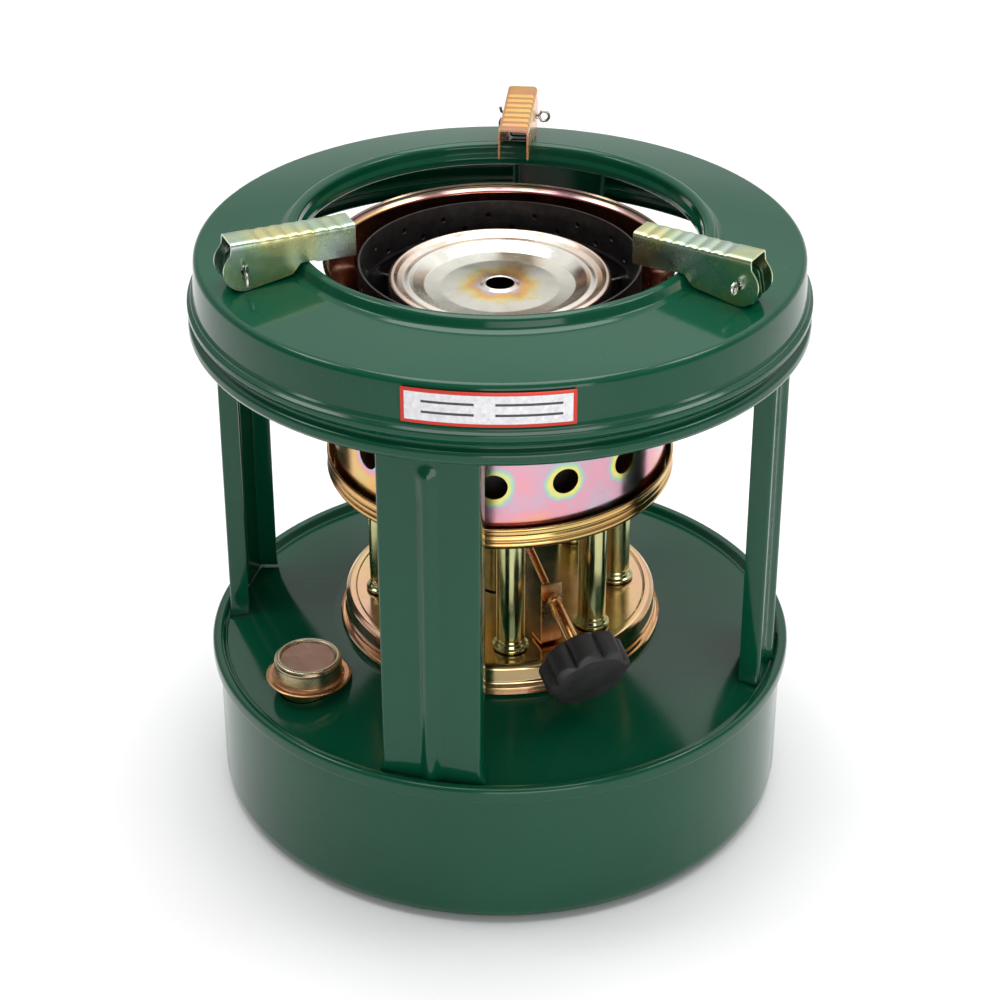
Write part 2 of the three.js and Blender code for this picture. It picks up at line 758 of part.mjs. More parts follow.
function buildLabel() {
  const r = ringShoulderRadius + 1 + sheet / 2 + gap;
  const top = ringShoulder - 0.8 - labelMargin;
  const height = ringWall - 2 * labelMargin;
  const steps = 10;
  const arcAt = (radius) =>
    Array.from({ length: steps + 1 }, (_, i) => {
      const a = rad(labelAngle - labelSpan / 2 + (labelSpan * i) / steps);
      return new THREE.Vector2(radius * Math.cos(a), radius * Math.sin(a));
    });
  const shape = new THREE.Shape([...arcAt(r + 0.4), ...arcAt(r).reverse()]);
  const geometry = new THREE.ExtrudeGeometry(shape, { depth: height, bevelEnabled: false });
  add("rating_plate", geometry.translate(0, 0, top - height), platePrint());
}

// ---------------------------------------------------------------- pot supports
// Drawn with the hinge pin at the origin: X outwards, Z up.
function buildSupports() {
  const wallInner = supportWidth / 2 - sheet;
  const top = supportTopAbovePin;
  const crestX = ringCrestRadius - pinCircle;
  const rest = ringTop + gap - pinHeight;
  const side = [
    [-supportReach, top],
    [-supportReach, rest - 0.8],
    [crestX - 3.4, rest - 0.8],
    [crestX - 2.6, rest],
    [crestX + 2.6, rest],
    [crestX + 6, coneAt(coneInner) + 1.4 - pinHeight],
    ...arc(0, 0, supportLobe, -100, 42, 6),
    [5.2, supportLobe - 1.6],
    [4.3, top],
  ];
  const wall = (y) => plate(side, y - sheet / 2, y + sheet / 2);
  const web = box(-supportReach, 4.3, -supportWidth / 2, supportWidth / 2, top - sheet, top);
  const pinHole = rod(pinRadius + 0.35, -supportWidth, supportWidth).rotateX(Math.PI / 2);
  const step = (supportReach - 6) / supportGrooveCount;
  const grooves = Array.from({ length: supportGrooveCount }, (_, i) => {
    const x = -supportReach + 5 + step * (i + 0.5);
    return box(x - 0.7, x + 0.7, -supportWidth, supportWidth, top - 0.35, top + 1);
  });
  const wallAt = wallInner + sheet / 2;
  const channel = cut(join(web, wall(wallAt), wall(-wallAt)), pinHole, ...grooves);

  const lug = wallInner - gap - sheet / 2;
  const base = coneAt(pinCircle - bracketReach) + gap - pinHeight;
  const ear = [
    [-bracketReach, base],
    [bracketReach, base],
    [3.4, 2],
    ...arc(0, 0, 3.8, 30, 150, 4),
    [-3.4, 2],
  ];
  const earAt = (y) => plate(ear, y - sheet / 2, y + sheet / 2);
  const saddleSide = lug + sheet / 2;
  const saddle = box(-bracketReach, bracketReach, -saddleSide, saddleSide, base, base + sheet);
  const bracket = cut(join(saddle, earAt(lug), earAt(-lug)), pinHole);

  // A split pin: a shank, an eye at one end and a bent-down leg at the other.
  const end = supportWidth / 2 + 1.2;
  const shank = rod(pinRadius, -end, end, 10).rotateX(Math.PI / 2);
  const eye = new THREE.TorusGeometry(2.2, 0.8, 6, 10).rotateY(Math.PI / 2);
  eye.translate(0, -end - 1.9, 0);
  const leg = rod(0.8, 0, 6, 6).rotateX(rad(200)).translate(0, end - 0.9, 0);
  const pin = join(shank, eye, leg);

  supportAngles.forEach((angle, i) => {
    const place = new THREE.Group();
    place.position.copy(polar(pinCircle, angle, pinHeight));
    place.rotation.z = rad(angle);
    stove.add(place);
    add(`pot_support_${i + 1}`, channel, zincYellow(), place);
    add(`support_bracket_${i + 1}`, bracket, greenPaint(), place);
    add(`support_pin_${i + 1}`, pin, brightSteel(), place);
  });
}

buildTank();
buildFiller();
buildBase();
buildWickTubes();
buildWicks();
buildSpindle();
buildTray();
buildCasing();
buildFlameTubes();
buildDish();
buildRing();
buildLegs();
buildLabel();
buildSupports();

export default stove;
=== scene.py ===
"""Builds the visible pieces and finishes of an eight-wick kerosene camping stove round its fixed frame.

Lengths in this file are millimetres until a helper draws them; +Z is up and -Y is the stove's front.
"""

import json
import math

import bpy
from bpy.props import FloatProperty, FloatVectorProperty, IntProperty, PointerProperty
from mathutils import Matrix, Vector


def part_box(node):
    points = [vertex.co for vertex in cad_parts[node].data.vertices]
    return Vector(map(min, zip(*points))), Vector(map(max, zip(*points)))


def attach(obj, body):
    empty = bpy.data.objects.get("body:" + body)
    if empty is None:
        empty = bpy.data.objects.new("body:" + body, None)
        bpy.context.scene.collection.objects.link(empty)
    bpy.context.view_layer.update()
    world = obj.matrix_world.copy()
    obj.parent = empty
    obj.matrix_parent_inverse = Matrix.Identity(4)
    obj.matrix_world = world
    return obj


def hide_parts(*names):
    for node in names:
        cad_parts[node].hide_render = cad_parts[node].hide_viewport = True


bl_info = {
    "name": "Wick Stove",
    "version": (1, 0, 0),
    "blender": (4, 5, 0),
    "location": "3D View > Sidebar > Stove",
    "description": "Models the pieces and finishes of an eight-wick camping stove",
    "category": "Add Mesh",
}

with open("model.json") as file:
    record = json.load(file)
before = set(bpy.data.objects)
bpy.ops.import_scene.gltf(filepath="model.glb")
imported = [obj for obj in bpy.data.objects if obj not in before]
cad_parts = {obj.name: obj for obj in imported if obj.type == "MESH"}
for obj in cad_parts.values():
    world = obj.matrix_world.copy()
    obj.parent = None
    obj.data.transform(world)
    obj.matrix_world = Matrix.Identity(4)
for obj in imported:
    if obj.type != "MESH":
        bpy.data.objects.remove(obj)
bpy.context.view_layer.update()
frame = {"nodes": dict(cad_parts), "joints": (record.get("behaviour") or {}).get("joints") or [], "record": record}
MM = 0.001

BEHAVIOUR = frame["record"]["behaviour"]
BODY_OF = {node: body for body, nodes in BEHAVIOUR["bodies"].items() for node in nodes}
JOINTS = {joint["name"]: joint for joint in frame["joints"]}


# ------------------------------------------------------------------ places taken from the frame
def top_of(node):
    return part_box(node)[1].z / MM


def foot_of(node):
    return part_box(node)[0].z / MM


def rim_of(node):
    """Outer radius of a node that is turned about the stove's axis."""
    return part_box(node)[1].x / MM


def centre_of(node):
    low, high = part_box(node)
    return (low + high) / 2 / MM


def angle_of(place):
    return math.atan2(place.y, place.x)


def joint_place(name):
    return Vector(JOINTS[name]["pos_m"]) / MM


def spoke(place, angle):
    """Matrix that puts a piece drawn with +X outwards at a place, in mm, and turns it to face outwards."""
    return Matrix.Translation(Vector(place) * MM) @ Matrix.Rotation(angle, 4, "Z")


DECK_TOP = top_of("tank_deck")
SEAM = rim_of("tank_deck")
TRAY_FLOOR = foot_of("burner_tray")
RING_TOP = top_of("top_ring")
RING_RIM = rim_of("top_ring")
SUPPORTS = range(1, 4)
LEGS = range(1, 5)
WICKS = range(1, 9)
AIR_HOLE_HEIGHT = TRAY_FLOOR + 27
CASING_BEAD = 2.6  # how far the casing's rolled rim stands out, and how far down it reaches
TUBE_HOLE = 6.1  # radius of the holes that the wick tubes pass through
KNOB_HALF = 7.75  # half of the knob's depth
LEG_FACE = 113.16  # outer face of a leg, from the stove's axis
NEARLY_STRAIGHT = 1.55  # half of a corner's angle, in radians, above which it needs no fillet


# ------------------------------------------------------------------ settings
def length_setting(name, description, millimetres):
    return FloatProperty(name=name, description=description, default=millimetres * MM, unit="LENGTH")


def angle_setting(name, description, degrees):
    return FloatProperty(name=name, description=description, default=math.radians(degrees), unit="ROTATION")


def colour_setting(name, description, rgb):
    return FloatVectorProperty(name=name, description=description, default=rgb, subtype="COLOR", min=0, max=1)


class StoveSizes(bpy.types.PropertyGroup):
    """Sizes of the details that the frame leaves open"""

    sheet: length_setting("Sheet", "Thickness of the pressed steel", 0.8)
    edge: length_setting("Edge", "Round on the edges of the sheet", 0.2)
    steps: IntProperty(name="Steps", description="Segments round a large turned part", default=192)
    small_steps: IntProperty(name="Small steps", description="Segments round tubes and rods", default=40)
    air_holes: IntProperty(name="Air holes", description="Holes round the casing", default=15)
    air_hole: length_setting("Air hole", "Radius of an air hole", 5.3)
    air_hole_start: angle_setting("First air hole", "Angle of the first air hole from +X", -92)
    flame_holes: IntProperty(name="Flame holes", description="Small holes round a flame tube", default=18)
    flame_hole: length_setting("Flame hole", "Radius of a small hole", 1.25)
    rib_depth: length_setting("Rib depth", "How far a leg's rib stands out", 2.5)
    rib_width: length_setting("Rib width", "Width of a leg's rib", 9)
    ridge_count: IntProperty(name="Ridges", description="Ridges on top of a pot support", default=7)
    ridge_depth: length_setting("Ridge depth", "Depth of those ridges", 0.42)
    lobes: IntProperty(name="Lobes", description="Lobes round the knob", default=8)
    lobe_depth: length_setting("Lobe depth", "Depth of the dips between them", 2.4)
    braid: length_setting("Braid", "Depth of the plait in a wick", 0.22)


class StoveColours(bpy.types.PropertyGroup):
    """Colours of the finishes"""

    paint: colour_setting("Paint", "Bottle-green enamel", (0.002, 0.07, 0.033))
    steel: colour_setting("Steel", "Bare bright steel", (0.72, 0.7, 0.66))
    burnt: colour_setting("Burnt steel", "Heat-darkened steel of the flame tubes", (0.045, 0.042, 0.04))
    plastic: colour_setting("Plastic", "Knob moulding", (0.011, 0.0105, 0.0105))
    cotton: colour_setting("Cotton", "Wick yarn", (0.72, 0.66, 0.52))
    border: colour_setting("Plate border", "Printed border of the plate", (0.55, 0.03, 0.015))
    floor: colour_setting("Floor", "Pale studio floor", (0.93, 0.93, 0.93))


class StoveStage(bpy.types.PropertyGroup):
    """Camera and light"""

    elevation: angle_setting("Elevation", "Camera above the horizon", 30.48)
    distance: length_setting("Distance", "Camera to the point it looks at", 1066)
    aim: length_setting("Aim", "Height of the point it looks at", 125.6)
    lens: FloatProperty(name="Lens", description="Focal length in mm", default=93.4)
    world: FloatProperty(name="World", description="Strength of the surrounding light", default=1.25)
    key: FloatProperty(name="Key light", description="Watts of the large soft light", default=26.0)
    fill: FloatProperty(name="Side lights", description="Watts of each side light", default=5.0)
    front: FloatProperty(name="Front light", description="Watts of the low front light", default=14.0)


def sizes():
    return bpy.context.scene.stove_sizes


def colours():
    return bpy.context.scene.stove_colours


def half_sheet():
    """Half a sheet's thickness: pieces are drawn along the middle of their sheet."""
    return sizes().sheet / MM / 2


# ------------------------------------------------------------------ outlines, in mm
def arc(x, z, radius, start, end, steps=8):
    """Points along an arc, angles in degrees."""
    turn = [math.radians(start + (end - start) * i / steps) for i in range(steps + 1)]
    return [(x + radius * math.cos(a), z + radius * math.sin(a)) for a in turn]


def rounded(corners, steps=6):
    """A line through (x, z) or (x, z, fillet) corners, with an arc at each corner that has a fillet."""
    points = []
    for i, (x, z, *fillet) in enumerate(corners):
        here = Vector((x, z))
        if not fillet or i in (0, len(corners) - 1):
            points.append((x, z))
            continue
        before = Vector(corners[i - 1][:2]) - here
        after = Vector(corners[i + 1][:2]) - here
        half = before.angle(after) / 2
        if half > NEARLY_STRAIGHT:
            points.append((x, z))
            continue
        cut = min(fillet[0] / math.tan(half), before.length * 0.49, after.length * 0.49)
        middle = (before.normalized() + after.normalized()).normalized()
        centre = here + middle * cut / math.cos(half)
        first = here + before.normalized() * cut - centre
        last = here + after.normalized() * cut - centre
        sweep = first.angle_signed(last)
        for k in range(steps + 1):
            turned_by = Matrix.Rotation(-sweep * k / steps, 2)
            points.append(tuple(centre + turned_by @ first))
    return points


def divided(line, spacing):
    """Adds points to a line of (x, z) points, to leave about the spacing between them."""
    points = [line[0]]
    for here, there in zip(line, line[1:]):
        parts = max(1, round(math.dist(here, there) / spacing))
        across, up = there[0] - here[0], there[1] - here[1]
        points += [(here[0] + across * k / parts, here[1] + up * k / parts) for k in range(1, parts + 1)]
    return points


# ------------------------------------------------------------------ modelling helpers
def only(obj):
    """Selects obj alone and makes it active."""
    bpy.ops.object.select_all(action="DESELECT")
    obj.select_set(True)
    bpy.context.view_layer.objects.active = obj


def drawn(points, closed=False):
    """Draws a chain of edges by extruding one vertex from point to point, and leaves it in edit mode."""
    bpy.ops.object.select_all(action="DESELECT")
    bpy.ops.mesh.primitive_plane_add(size=MM, location=(0, 0, 0))
    bpy.ops.object.mode_set(mode="EDIT")
    bpy.ops.mesh.select_all(action="SELECT")
    bpy.ops.mesh.merge(type="CENTER")
    places = [Vector(point) * MM for point in points]
    bpy.ops.transform.translate(value=places[0])
    for here, there in zip(places, places[1:]):
        bpy.ops.mesh.extrude_vertices_move(TRANSFORM_OT_translate={"value": there - here})
    bpy.ops.mesh.select_all(action="SELECT")
    if closed:
        bpy.ops.mesh.edge_face_add()
    return bpy.context.object


def tidy_mesh():
    """Merges doubles and turns the faces outwards, in edit mode, then leaves it."""
    bpy.ops.mesh.select_all(action="SELECT")
    bpy.ops.mesh.remove_doubles(threshold=MM / 200)
    bpy.ops.mesh.normals_make_consistent(inside=False)
    bpy.ops.object.mode_set(mode="OBJECT")
    return bpy.context.object


def turned(line, steps=None, angle=math.tau):
    """Spins a line of (radius, height) points about the Z axis."""
    drawn([(r, 0, z) for r, z in line])
    bpy.ops.mesh.spin(steps=steps or sizes().steps, angle=angle, center=(0, 0, 0), axis=(0, 0, 1))
    return tidy_mesh()


def spun(*corners, fillets=6, steps=None):
    """Rounds a line of (radius, height) corners and spins it; fillets is the segments in each round."""
    return turned(rounded(corners, fillets), steps)


def rows(points, step, count):
    """Extrudes a chain of edges again and again, which makes a sheet of even rows."""
    drawn(points)
    bpy.ops.mesh.extrude_repeat(steps=count, offset=Vector(step) * MM)
    return tidy_mesh()


def slab(points, thickness):
    """Fills a closed outline and extrudes it; thickness is a vector."""
    drawn(points, closed=True)
    bpy.ops.mesh.extrude_region_move(TRANSFORM_OT_translate={"value": Vector(thickness) * MM})
    return tidy_mesh()


def rod(radius, start, end, steps=24):
    """A cylinder between two points, used to bore holes."""
    start, end = Vector(start), Vector(end)
    bpy.ops.object.select_all(action="DESELECT")
    bpy.ops.mesh.primitive_cylinder_add(
        vertices=steps,
        radius=radius * MM,
        depth=(end - start).length * MM,
        location=(start + end) / 2 * MM,
        rotation=(end - start).to_track_quat("Z", "Y").to_euler(),
    )
    return settled(bpy.context.object)


def settled(obj, matrix=None):
    """Puts the object's place into its mesh, after moving it by the matrix if one is given."""
    only(obj)
    if matrix is not None:
        obj.matrix_world = matrix
    bpy.ops.object.transform_apply(location=True, rotation=True, scale=True)
    return obj


def modify(obj, kind, **settings):
    """Adds a modifier, sets it and applies it."""
    only(obj)
    modifier = obj.modifiers.new(kind.title(), kind)
    for name, value in settings.items():
        setattr(modifier, name, value)
    bpy.ops.object.modifier_apply(modifier=modifier.name)
    return obj


def joined(*objects):
    only(objects[0])
    for obj in objects:
        obj.select_set(True)
    if len(objects) > 1:
        bpy.ops.object.join()
    return objects[0]


def shaped(obj, cutter, operation):
    modify(obj, "BOOLEAN", object=cutter, operation=operation, solver="EXACT")
    bpy.data.objects.remove(cutter)
    return obj


def bored(obj, *cutters):
    return shaped(obj, joined(*cutters), "DIFFERENCE")


def smooth(obj, degrees=35):
    only(obj)
    bpy.ops.object.shade_smooth_by_angle(angle=math.radians(degrees))
    return obj


def eased(obj, width=None, segments=2):
    """Rounds the sharp edges."""
    width = width * MM if width else sizes().edge
    modify(obj, "BEVEL", width=width, segments=segments, limit_method="ANGLE", angle_limit=math.radians(50))
    return smooth(obj)


def thickened(obj, wall=None):
    """Gives a surface the thickness of sheet, centred on it."""
    wall = wall * MM if wall else sizes().sheet
    return modify(obj, "SOLIDIFY", thickness=wall, offset=0, use_even_offset=True)


def sheet_metal(obj, wall=None, edge=None):
    """Thickens a surface and eases its edges."""
    return eased(thickened(obj, wall), edge)


def weighed(obj, weight):
    """Puts each vertex in one group, by a weight from 0 to 1 that depends on its place in mm."""
    group = obj.vertex_groups.new(name="weight")
    for vertex in obj.data.vertices:
        group.add([vertex.index], weight(vertex.co / MM), "REPLACE")
    return group.name


def pressed(obj, depth, direction, weight):
    """Moves each vertex along an axis or its normal by depth times its weight."""
    group = weighed(obj, weight)
    along = {"direction": direction, "space": "LOCAL"}
    modify(obj, "DISPLACE", strength=depth, mid_level=0, vertex_group=group, **along)
    obj.vertex_groups.clear()
    return obj


def wire(points, radius):
    """A round wire along a path: a chain made a curve, given its thickness and made a mesh again."""
    obj = drawn(points)
    bpy.ops.object.mode_set(mode="OBJECT")
    only(obj)
    bpy.ops.object.convert(target="CURVE")
    obj = bpy.context.object
    obj.data.bevel_depth = radius * MM
    obj.data.bevel_resolution = 4
    obj.data.use_fill_caps = True
    bpy.ops.object.convert(target="MESH")
    bpy.ops.object.mode_set(mode="EDIT")
    return smooth(tidy_mesh(), 50)


def copied(obj, matrix):
    """A copy with its own mesh, moved by the matrix."""
    only(obj)
    bpy.ops.object.duplicate(linked=False)
    return settled(bpy.context.object, matrix)


def stands_for(obj, name, material, *nodes):
    """Names a piece, gives it its material and puts it in the place of its CAD nodes."""
    obj.name = name
    obj.data.name = name
    obj.data.materials.clear()
    obj.data.materials.append(material)
    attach(obj, BODY_OF[nodes[0]])
    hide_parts(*nodes)
    return obj


def repeated(pattern, name, material, node, numbers, place):
    """Copies a pattern to the place of each numbered node, then removes it; place gives a number's matrix."""
    for i in numbers:
        stands_for(copied(pattern, place(i)), f"{name}_{i}", material, f"{node}_{i}")
    bpy.data.objects.remove(pattern)


def dress(material, *nodes):
    """Gives CAD nodes that keep their shape a better material."""
    for node in nodes:
        obj = frame["nodes"][node]
        obj.data.materials.clear()
        obj.data.materials.append(material)


# ------------------------------------------------------------------ shader helpers
def plug(tree, node, inputs):
    """Sets a node's inputs, by socket name or number, to values or to sockets to link from."""
    for key, value in inputs.items():
        if isinstance(value, bpy.types.NodeSocket):
            tree.links.new(value, node.inputs[key])
        else:
            node.inputs[key].default_value = value
    return node


def put(tree, kind, inputs=None, **settings):
    """Adds a node with its settings and inputs."""
    node = tree.nodes.new("ShaderNode" + kind)
    for name, value in settings.items():
        setattr(node, name, value)
    return plug(tree, node, inputs or {})


def calc(tree, operation, *values, clamp=False):
    node = put(tree, "Math", dict(enumerate(values)), operation=operation, use_clamp=clamp)
    return node.outputs[0]


def ramp(tree, factor, *stops):
    """A colour ramp; each stop is (position, colour), or (position, grey)."""
    node = put(tree, "ValToRGB", {"Fac": factor})
    points = node.color_ramp.elements
    for i, (place, colour) in enumerate(stops):
        point = points[i] if i < 2 else points.new(place)
        point.position = place
        rgb = colour if isinstance(colour, tuple) else (colour,) * 3
        point.color = (*rgb, 1)
    return node.outputs["Color"]


def noise(tree, vector, scale, detail=2.0, roughness=0.5, distortion=0.0):
    names = ("Vector", "Scale", "Detail", "Roughness", "Distortion")
    inputs = dict(zip(names, (vector, scale, detail, roughness, distortion)))
    return put(tree, "TexNoise", inputs).outputs["Fac"]


def blend_colours(tree, factor, a, b, mode="MIX"):
    a, b = (value if isinstance(value, bpy.types.NodeSocket) else (*value, 1) for value in (a, b))
    return put(tree, "Mix", {0: factor, 6: a, 7: b}, data_type="RGBA", blend_type=mode).outputs[2]


def remap(tree, value, start, end, low=0.0, high=1.0, curve="LINEAR"):
    """Maps start to end onto low to high, and stops there."""
    inputs = {"Value": value, "From Min": start, "From Max": end, "To Min": low, "To Max": high}
    return put(tree, "MapRange", inputs, interpolation_type=curve).outputs[0]


def parts_of(tree, vector):
    return put(tree, "SeparateXYZ", {"Vector": vector}).outputs


def round_axis(tree, vector):
    """A place's parts, and its distance from the stove's axis."""
    parts = parts_of(tree, vector)
    flat = put(tree, "CombineXYZ", {"X": parts["X"], "Y": parts["Y"]}).outputs[0]
    return parts, put(tree, "VectorMath", {0: flat}, operation="LENGTH").outputs["Value"]


def new_group(name, inputs, outputs):
    """An empty shader node group. Inputs are (name, type, default), outputs are (name, type)."""
    tree = bpy.data.node_groups.new(name, "ShaderNodeTree")
    for socket, kind, default in inputs:
        made = tree.interface.new_socket(socket, in_out="INPUT", socket_type="NodeSocket" + kind)
        if default is not None:
            made.default_value = default
    for socket, kind in outputs:
        tree.interface.new_socket(socket, in_out="OUTPUT", socket_type="NodeSocket" + kind)
    return tree, tree.nodes.new("NodeGroupInput").outputs, tree.nodes.new("NodeGroupOutput").inputs


def group_film():
    """Colours of a thin chromate film: film 0 to 1 runs from pale gold through rose and cyan to yellow."""
    tree, given, result = new_group(
        "chromate film",
        [
            ("Vector", "Vector", None), ("Film", "Float", 0.3), ("Spread", "Float", 0.1),
            ("Scale", "Float", 30.0),
        ],
        [("Color", "Color"), ("Film", "Float")],
    )
    drift = noise(tree, given["Vector"], given["Scale"], 3.0, 0.55, 0.6)
    drift = calc(tree, "SUBTRACT", drift, 0.5)
    drift = calc(tree, "MULTIPLY", drift, calc(tree, "MULTIPLY", given["Spread"], 4.0))
    film = calc(tree, "ADD", given["Film"], drift, clamp=True)
    colour = ramp(
        tree,
        film,
        (0.0, (0.74, 0.69, 0.52)), (1.0, (0.8, 0.74, 0.22)), (0.16, (0.72, 0.56, 0.2)),
        (0.3, (0.82, 0.46, 0.17)), (0.42, (0.84, 0.4, 0.3)), (0.54, (0.78, 0.36, 0.43)),
        (0.64, (0.62, 0.42, 0.53)), (0.74, (0.38, 0.58, 0.58)), (0.86, (0.44, 0.68, 0.4)),
    )
    tree.links.new(colour, result["Color"])
    tree.links.new(film, result["Film"])
    return tree


def group_handling():
    """Finger smudges, fine scratches and dust: a mask that roughens and a height for the bump."""
    tree, given, result = new_group(
        "handling",
        [("Vector", "Vector", None), ("Amount", "Float", 1.0)],
        [("Smudge", "Float"), ("Height", "Float")],
    )
    broad = noise(tree, given["Vector"], 26.0, 4.0, 0.6, 0.8)
    fine = noise(tree, given["Vector"], 210.0, 3.0, 0.6)
    smudge = calc(tree, "MULTIPLY", calc(tree, "ADD", broad, calc(tree, "MULTIPLY", fine, 0.45)), 0.75)
    smudge = ramp(tree, smudge, (0.42, 0.0), (0.78, 1.0))
    smudge = calc(tree, "MULTIPLY", smudge, given["Amount"])
    stretched = put(tree, "Mapping", {"Vector": given["Vector"], "Scale": (1.0, 1.0, 22.0)})
    scratch = noise(tree, stretched.outputs[0], 240.0, 2.0, 0.7)
    scratch = calc(tree, "MULTIPLY", calc(tree, "GREATER_THAN", scratch, 0.72), given["Amount"])
    tree.links.new(smudge, result["Smudge"])
    tree.links.new(scratch, result["Height"])
    return tree


def group_turning():
    """Fine rings about the stove's axis, left by pressing and spinning: a height that changes with radius."""
    tree, given, result = new_group(
        "turning marks", [("Vector", "Vector", None), ("Scale", "Float", 900.0)], [("Height", "Float")]
    )
    parts, radius = round_axis(tree, given["Vector"])
    place = put(tree, "CombineXYZ", {"X": radius, "Z": parts["Z"]}).outputs[0]
    tree.links.new(noise(tree, place, given["Scale"], 2.0, 0.6), result["Height"])
    return tree


def group_edges():
    """Mask of the edges, where a finish is thin or worn."""
    tree, given, result = new_group(
        "thin edges", [("Vector", "Vector", None), ("Wear", "Float", 0.5)], [("Mask", "Float")]
    )
    sharp = put(tree, "NewGeometry").outputs["Pointiness"]
    sharp = ramp(tree, sharp, (0.52, 0.0), (0.6, 1.0))
    patchy = ramp(tree, noise(tree, given["Vector"], 160.0, 4.0, 0.65), (0.42, 0.0), (0.66, 1.0))
    mask = calc(tree, "MULTIPLY", calc(tree, "MULTIPLY", sharp, patchy), given["Wear"])
    tree.links.new(mask, result["Mask"])
    return tree


def group_round_mask():
    """Radius and angle about the stove's axis, for marks that go round with a part."""
    tree, given, result = new_group(
        "round the axis",
        [("Vector", "Vector", None)],
        [("Radius", "Float"), ("Angle", "Float"), ("Z", "Float")],
    )
    parts, radius = round_axis(tree, given["Vector"])
    tree.links.new(radius, result["Radius"])
    tree.links.new(calc(tree, "ARCTAN2", parts["Y"], parts["X"]), result["Angle"])
    tree.links.new(parts["Z"], result["Z"])
    return tree


def shared(name):
    """A shared node group, built the first time that it is asked for."""
    made = {
        "chromate film": group_film,
        "handling": group_handling,
        "turning marks": group_turning,
        "thin edges": group_edges,
        "round the axis": group_round_mask,
    }
    return bpy.data.node_groups.get(name) or made[name]()


def use(tree, name, **inputs):
    """Places a shared group in a material."""
    return put(tree, "Group", inputs, node_tree=shared(name)).outputs


def new_material(name, **uniform):
    """A material with its Principled shader; uniform values are set on the shader's own sockets."""
    material = bpy.data.materials.new(name)
    material.use_nodes = True
    tree = material.node_tree
    shader = tree.nodes["Principled BSDF"]
    for key, value in uniform.items():
        shader.inputs[key.replace("_", " ")].default_value = value
    place = put(tree, "TexCoord").outputs["Object"]
    return material, tree, shader, place


def coat(tree, shader, colour, mask, share, base):
    """Feeds the shader its colour, and a roughness that rises from base by share times a mask."""
    rough = calc(tree, "MULTIPLY_ADD", mask, share, base)
    plug(tree, shader, {"Base Color": colour, "Roughness": rough})


def bump(tree, shader, *layers):
    """Feeds the shader's normal from (height, distance in metres) layers."""
    normal = None
    for height, distance in layers:
        inputs = {"Height": height, "Distance": distance, "Strength": 1.0}
        if normal:
            inputs["Normal"] = normal
        normal = put(tree, "Bump", inputs).outputs["Normal"]
    tree.links.new(normal, shader.inputs["Normal"])


def once(build):
    """Keeps one copy of each material."""
    made = {}

    def material():
        if "it" not in made:
            made["it"] = build()
        return made["it"]

    return material


# ------------------------------------------------------------------ finishes
@once
def enamel():
    """Glossy bottle-green enamel over pressed sheet: slight waves, orange peel and smudges."""
    material, tree, shader, place = new_material("green_enamel", Specular_IOR_Level=0.34)
    paint = tuple(colours().paint)
    deep = tuple(c * 0.72 for c in paint)
    worn = tuple(c * 1.6 + 0.02 for c in paint)
    handling = use(tree, "handling", Vector=place, Amount=0.6)
    edges = use(tree, "thin edges", Vector=place, Wear=0.5)
    colour = blend_colours(tree, noise(tree, place, 14.0, 3.0), deep, paint)
    colour = blend_colours(tree, edges["Mask"], colour, worn)
    specks = ramp(tree, noise(tree, place, 620.0, 2.0, 0.7), (0.68, 0.0), (0.76, 0.35))
    colour = blend_colours(tree, specks, colour, worn)
    coat(tree, shader, colour, handling["Smudge"], 0.1, 0.1)
    waves = noise(tree, place, 22.0, 1.0)
    peel = noise(tree, place, 520.0, 2.0, 0.4)
    bump(tree, shader, (waves, 0.00025), (peel, 0.000006), (handling["Height"], 0.000001))
    return material


def chromate(name, film, spread, scale, roughness=0.2, silver=0.0, darken=1.0):
    """Zinc plate with a rainbow chromate film. Returns the parts, so that a finish can add its own marks."""
    material, tree, shader, place = new_material(name, Metallic=1.0)
    handling = use(tree, "handling", Vector=place, Amount=1.0)
    edges = use(tree, "thin edges", Vector=place, Wear=0.7)
    colour = use(tree, "chromate film", Vector=place, Film=film, Spread=spread, Scale=scale)["Color"]
    if silver:
        colour = blend_colours(tree, silver, colour, (0.66, 0.66, 0.6))
    if darken != 1.0:
        colour = blend_colours(tree, 1.0, colour, (darken,) * 3, "MULTIPLY")
    colour = blend_colours(tree, edges["Mask"], colour, (0.78, 0.7, 0.5))
    coat(tree, shader, colour, handling["Smudge"], 0.16, roughness)
    marks = use(tree, "turning marks", Vector=place, Scale=800.0)
    waves = noise(tree, place, 45.0, 2.0)
    bump(tree, shader, (waves, 0.00016), (marks["Height"], 0.000004), (handling["Height"], 0.000002))
    return material, tree, shader, place


@once
def tube_zinc():
    return chromate("tube_zinc", 0.97, 0.04, 38.0, 0.13, silver=0.25, darken=0.7)[0]


@once
def support_zinc():
    """Greenish yellow on the supports by the front, orange on the one at the back."""
    material, tree, shader, place = chromate("support_zinc", 0.5, 0.42, 42.0, 0.2)
    back = remap(tree, parts_of(tree, place)["Y"], 0.02, 0.07)
    film = remap(tree, back, 0.0, 1.0, 0.86, 0.3)
    colour = use(tree, "chromate film", Vector=place, Film=film, Spread=0.22, Scale=46.0)["Color"]
    tone = blend_colours(tree, back, (0.56, 0.56, 0.44), (0.86, 0.4, 0.12))
    colour = blend_colours(tree, 0.45, colour, tone)
    tree.links.new(colour, shader.inputs["Base Color"])
    return material


@once
def base_zinc():
    return chromate("base_zinc", 0.29, 0.12, 30.0, 0.13, silver=0.25)[0]


@once
def tray_zinc():
    return chromate("tray_zinc", 0.27, 0.12, 24.0, 0.16, darken=0.82)[0]


@once
def spindle_zinc():
    return chromate("spindle_zinc", 0.34, 0.12, 60.0, 0.2, darken=0.85)[0]


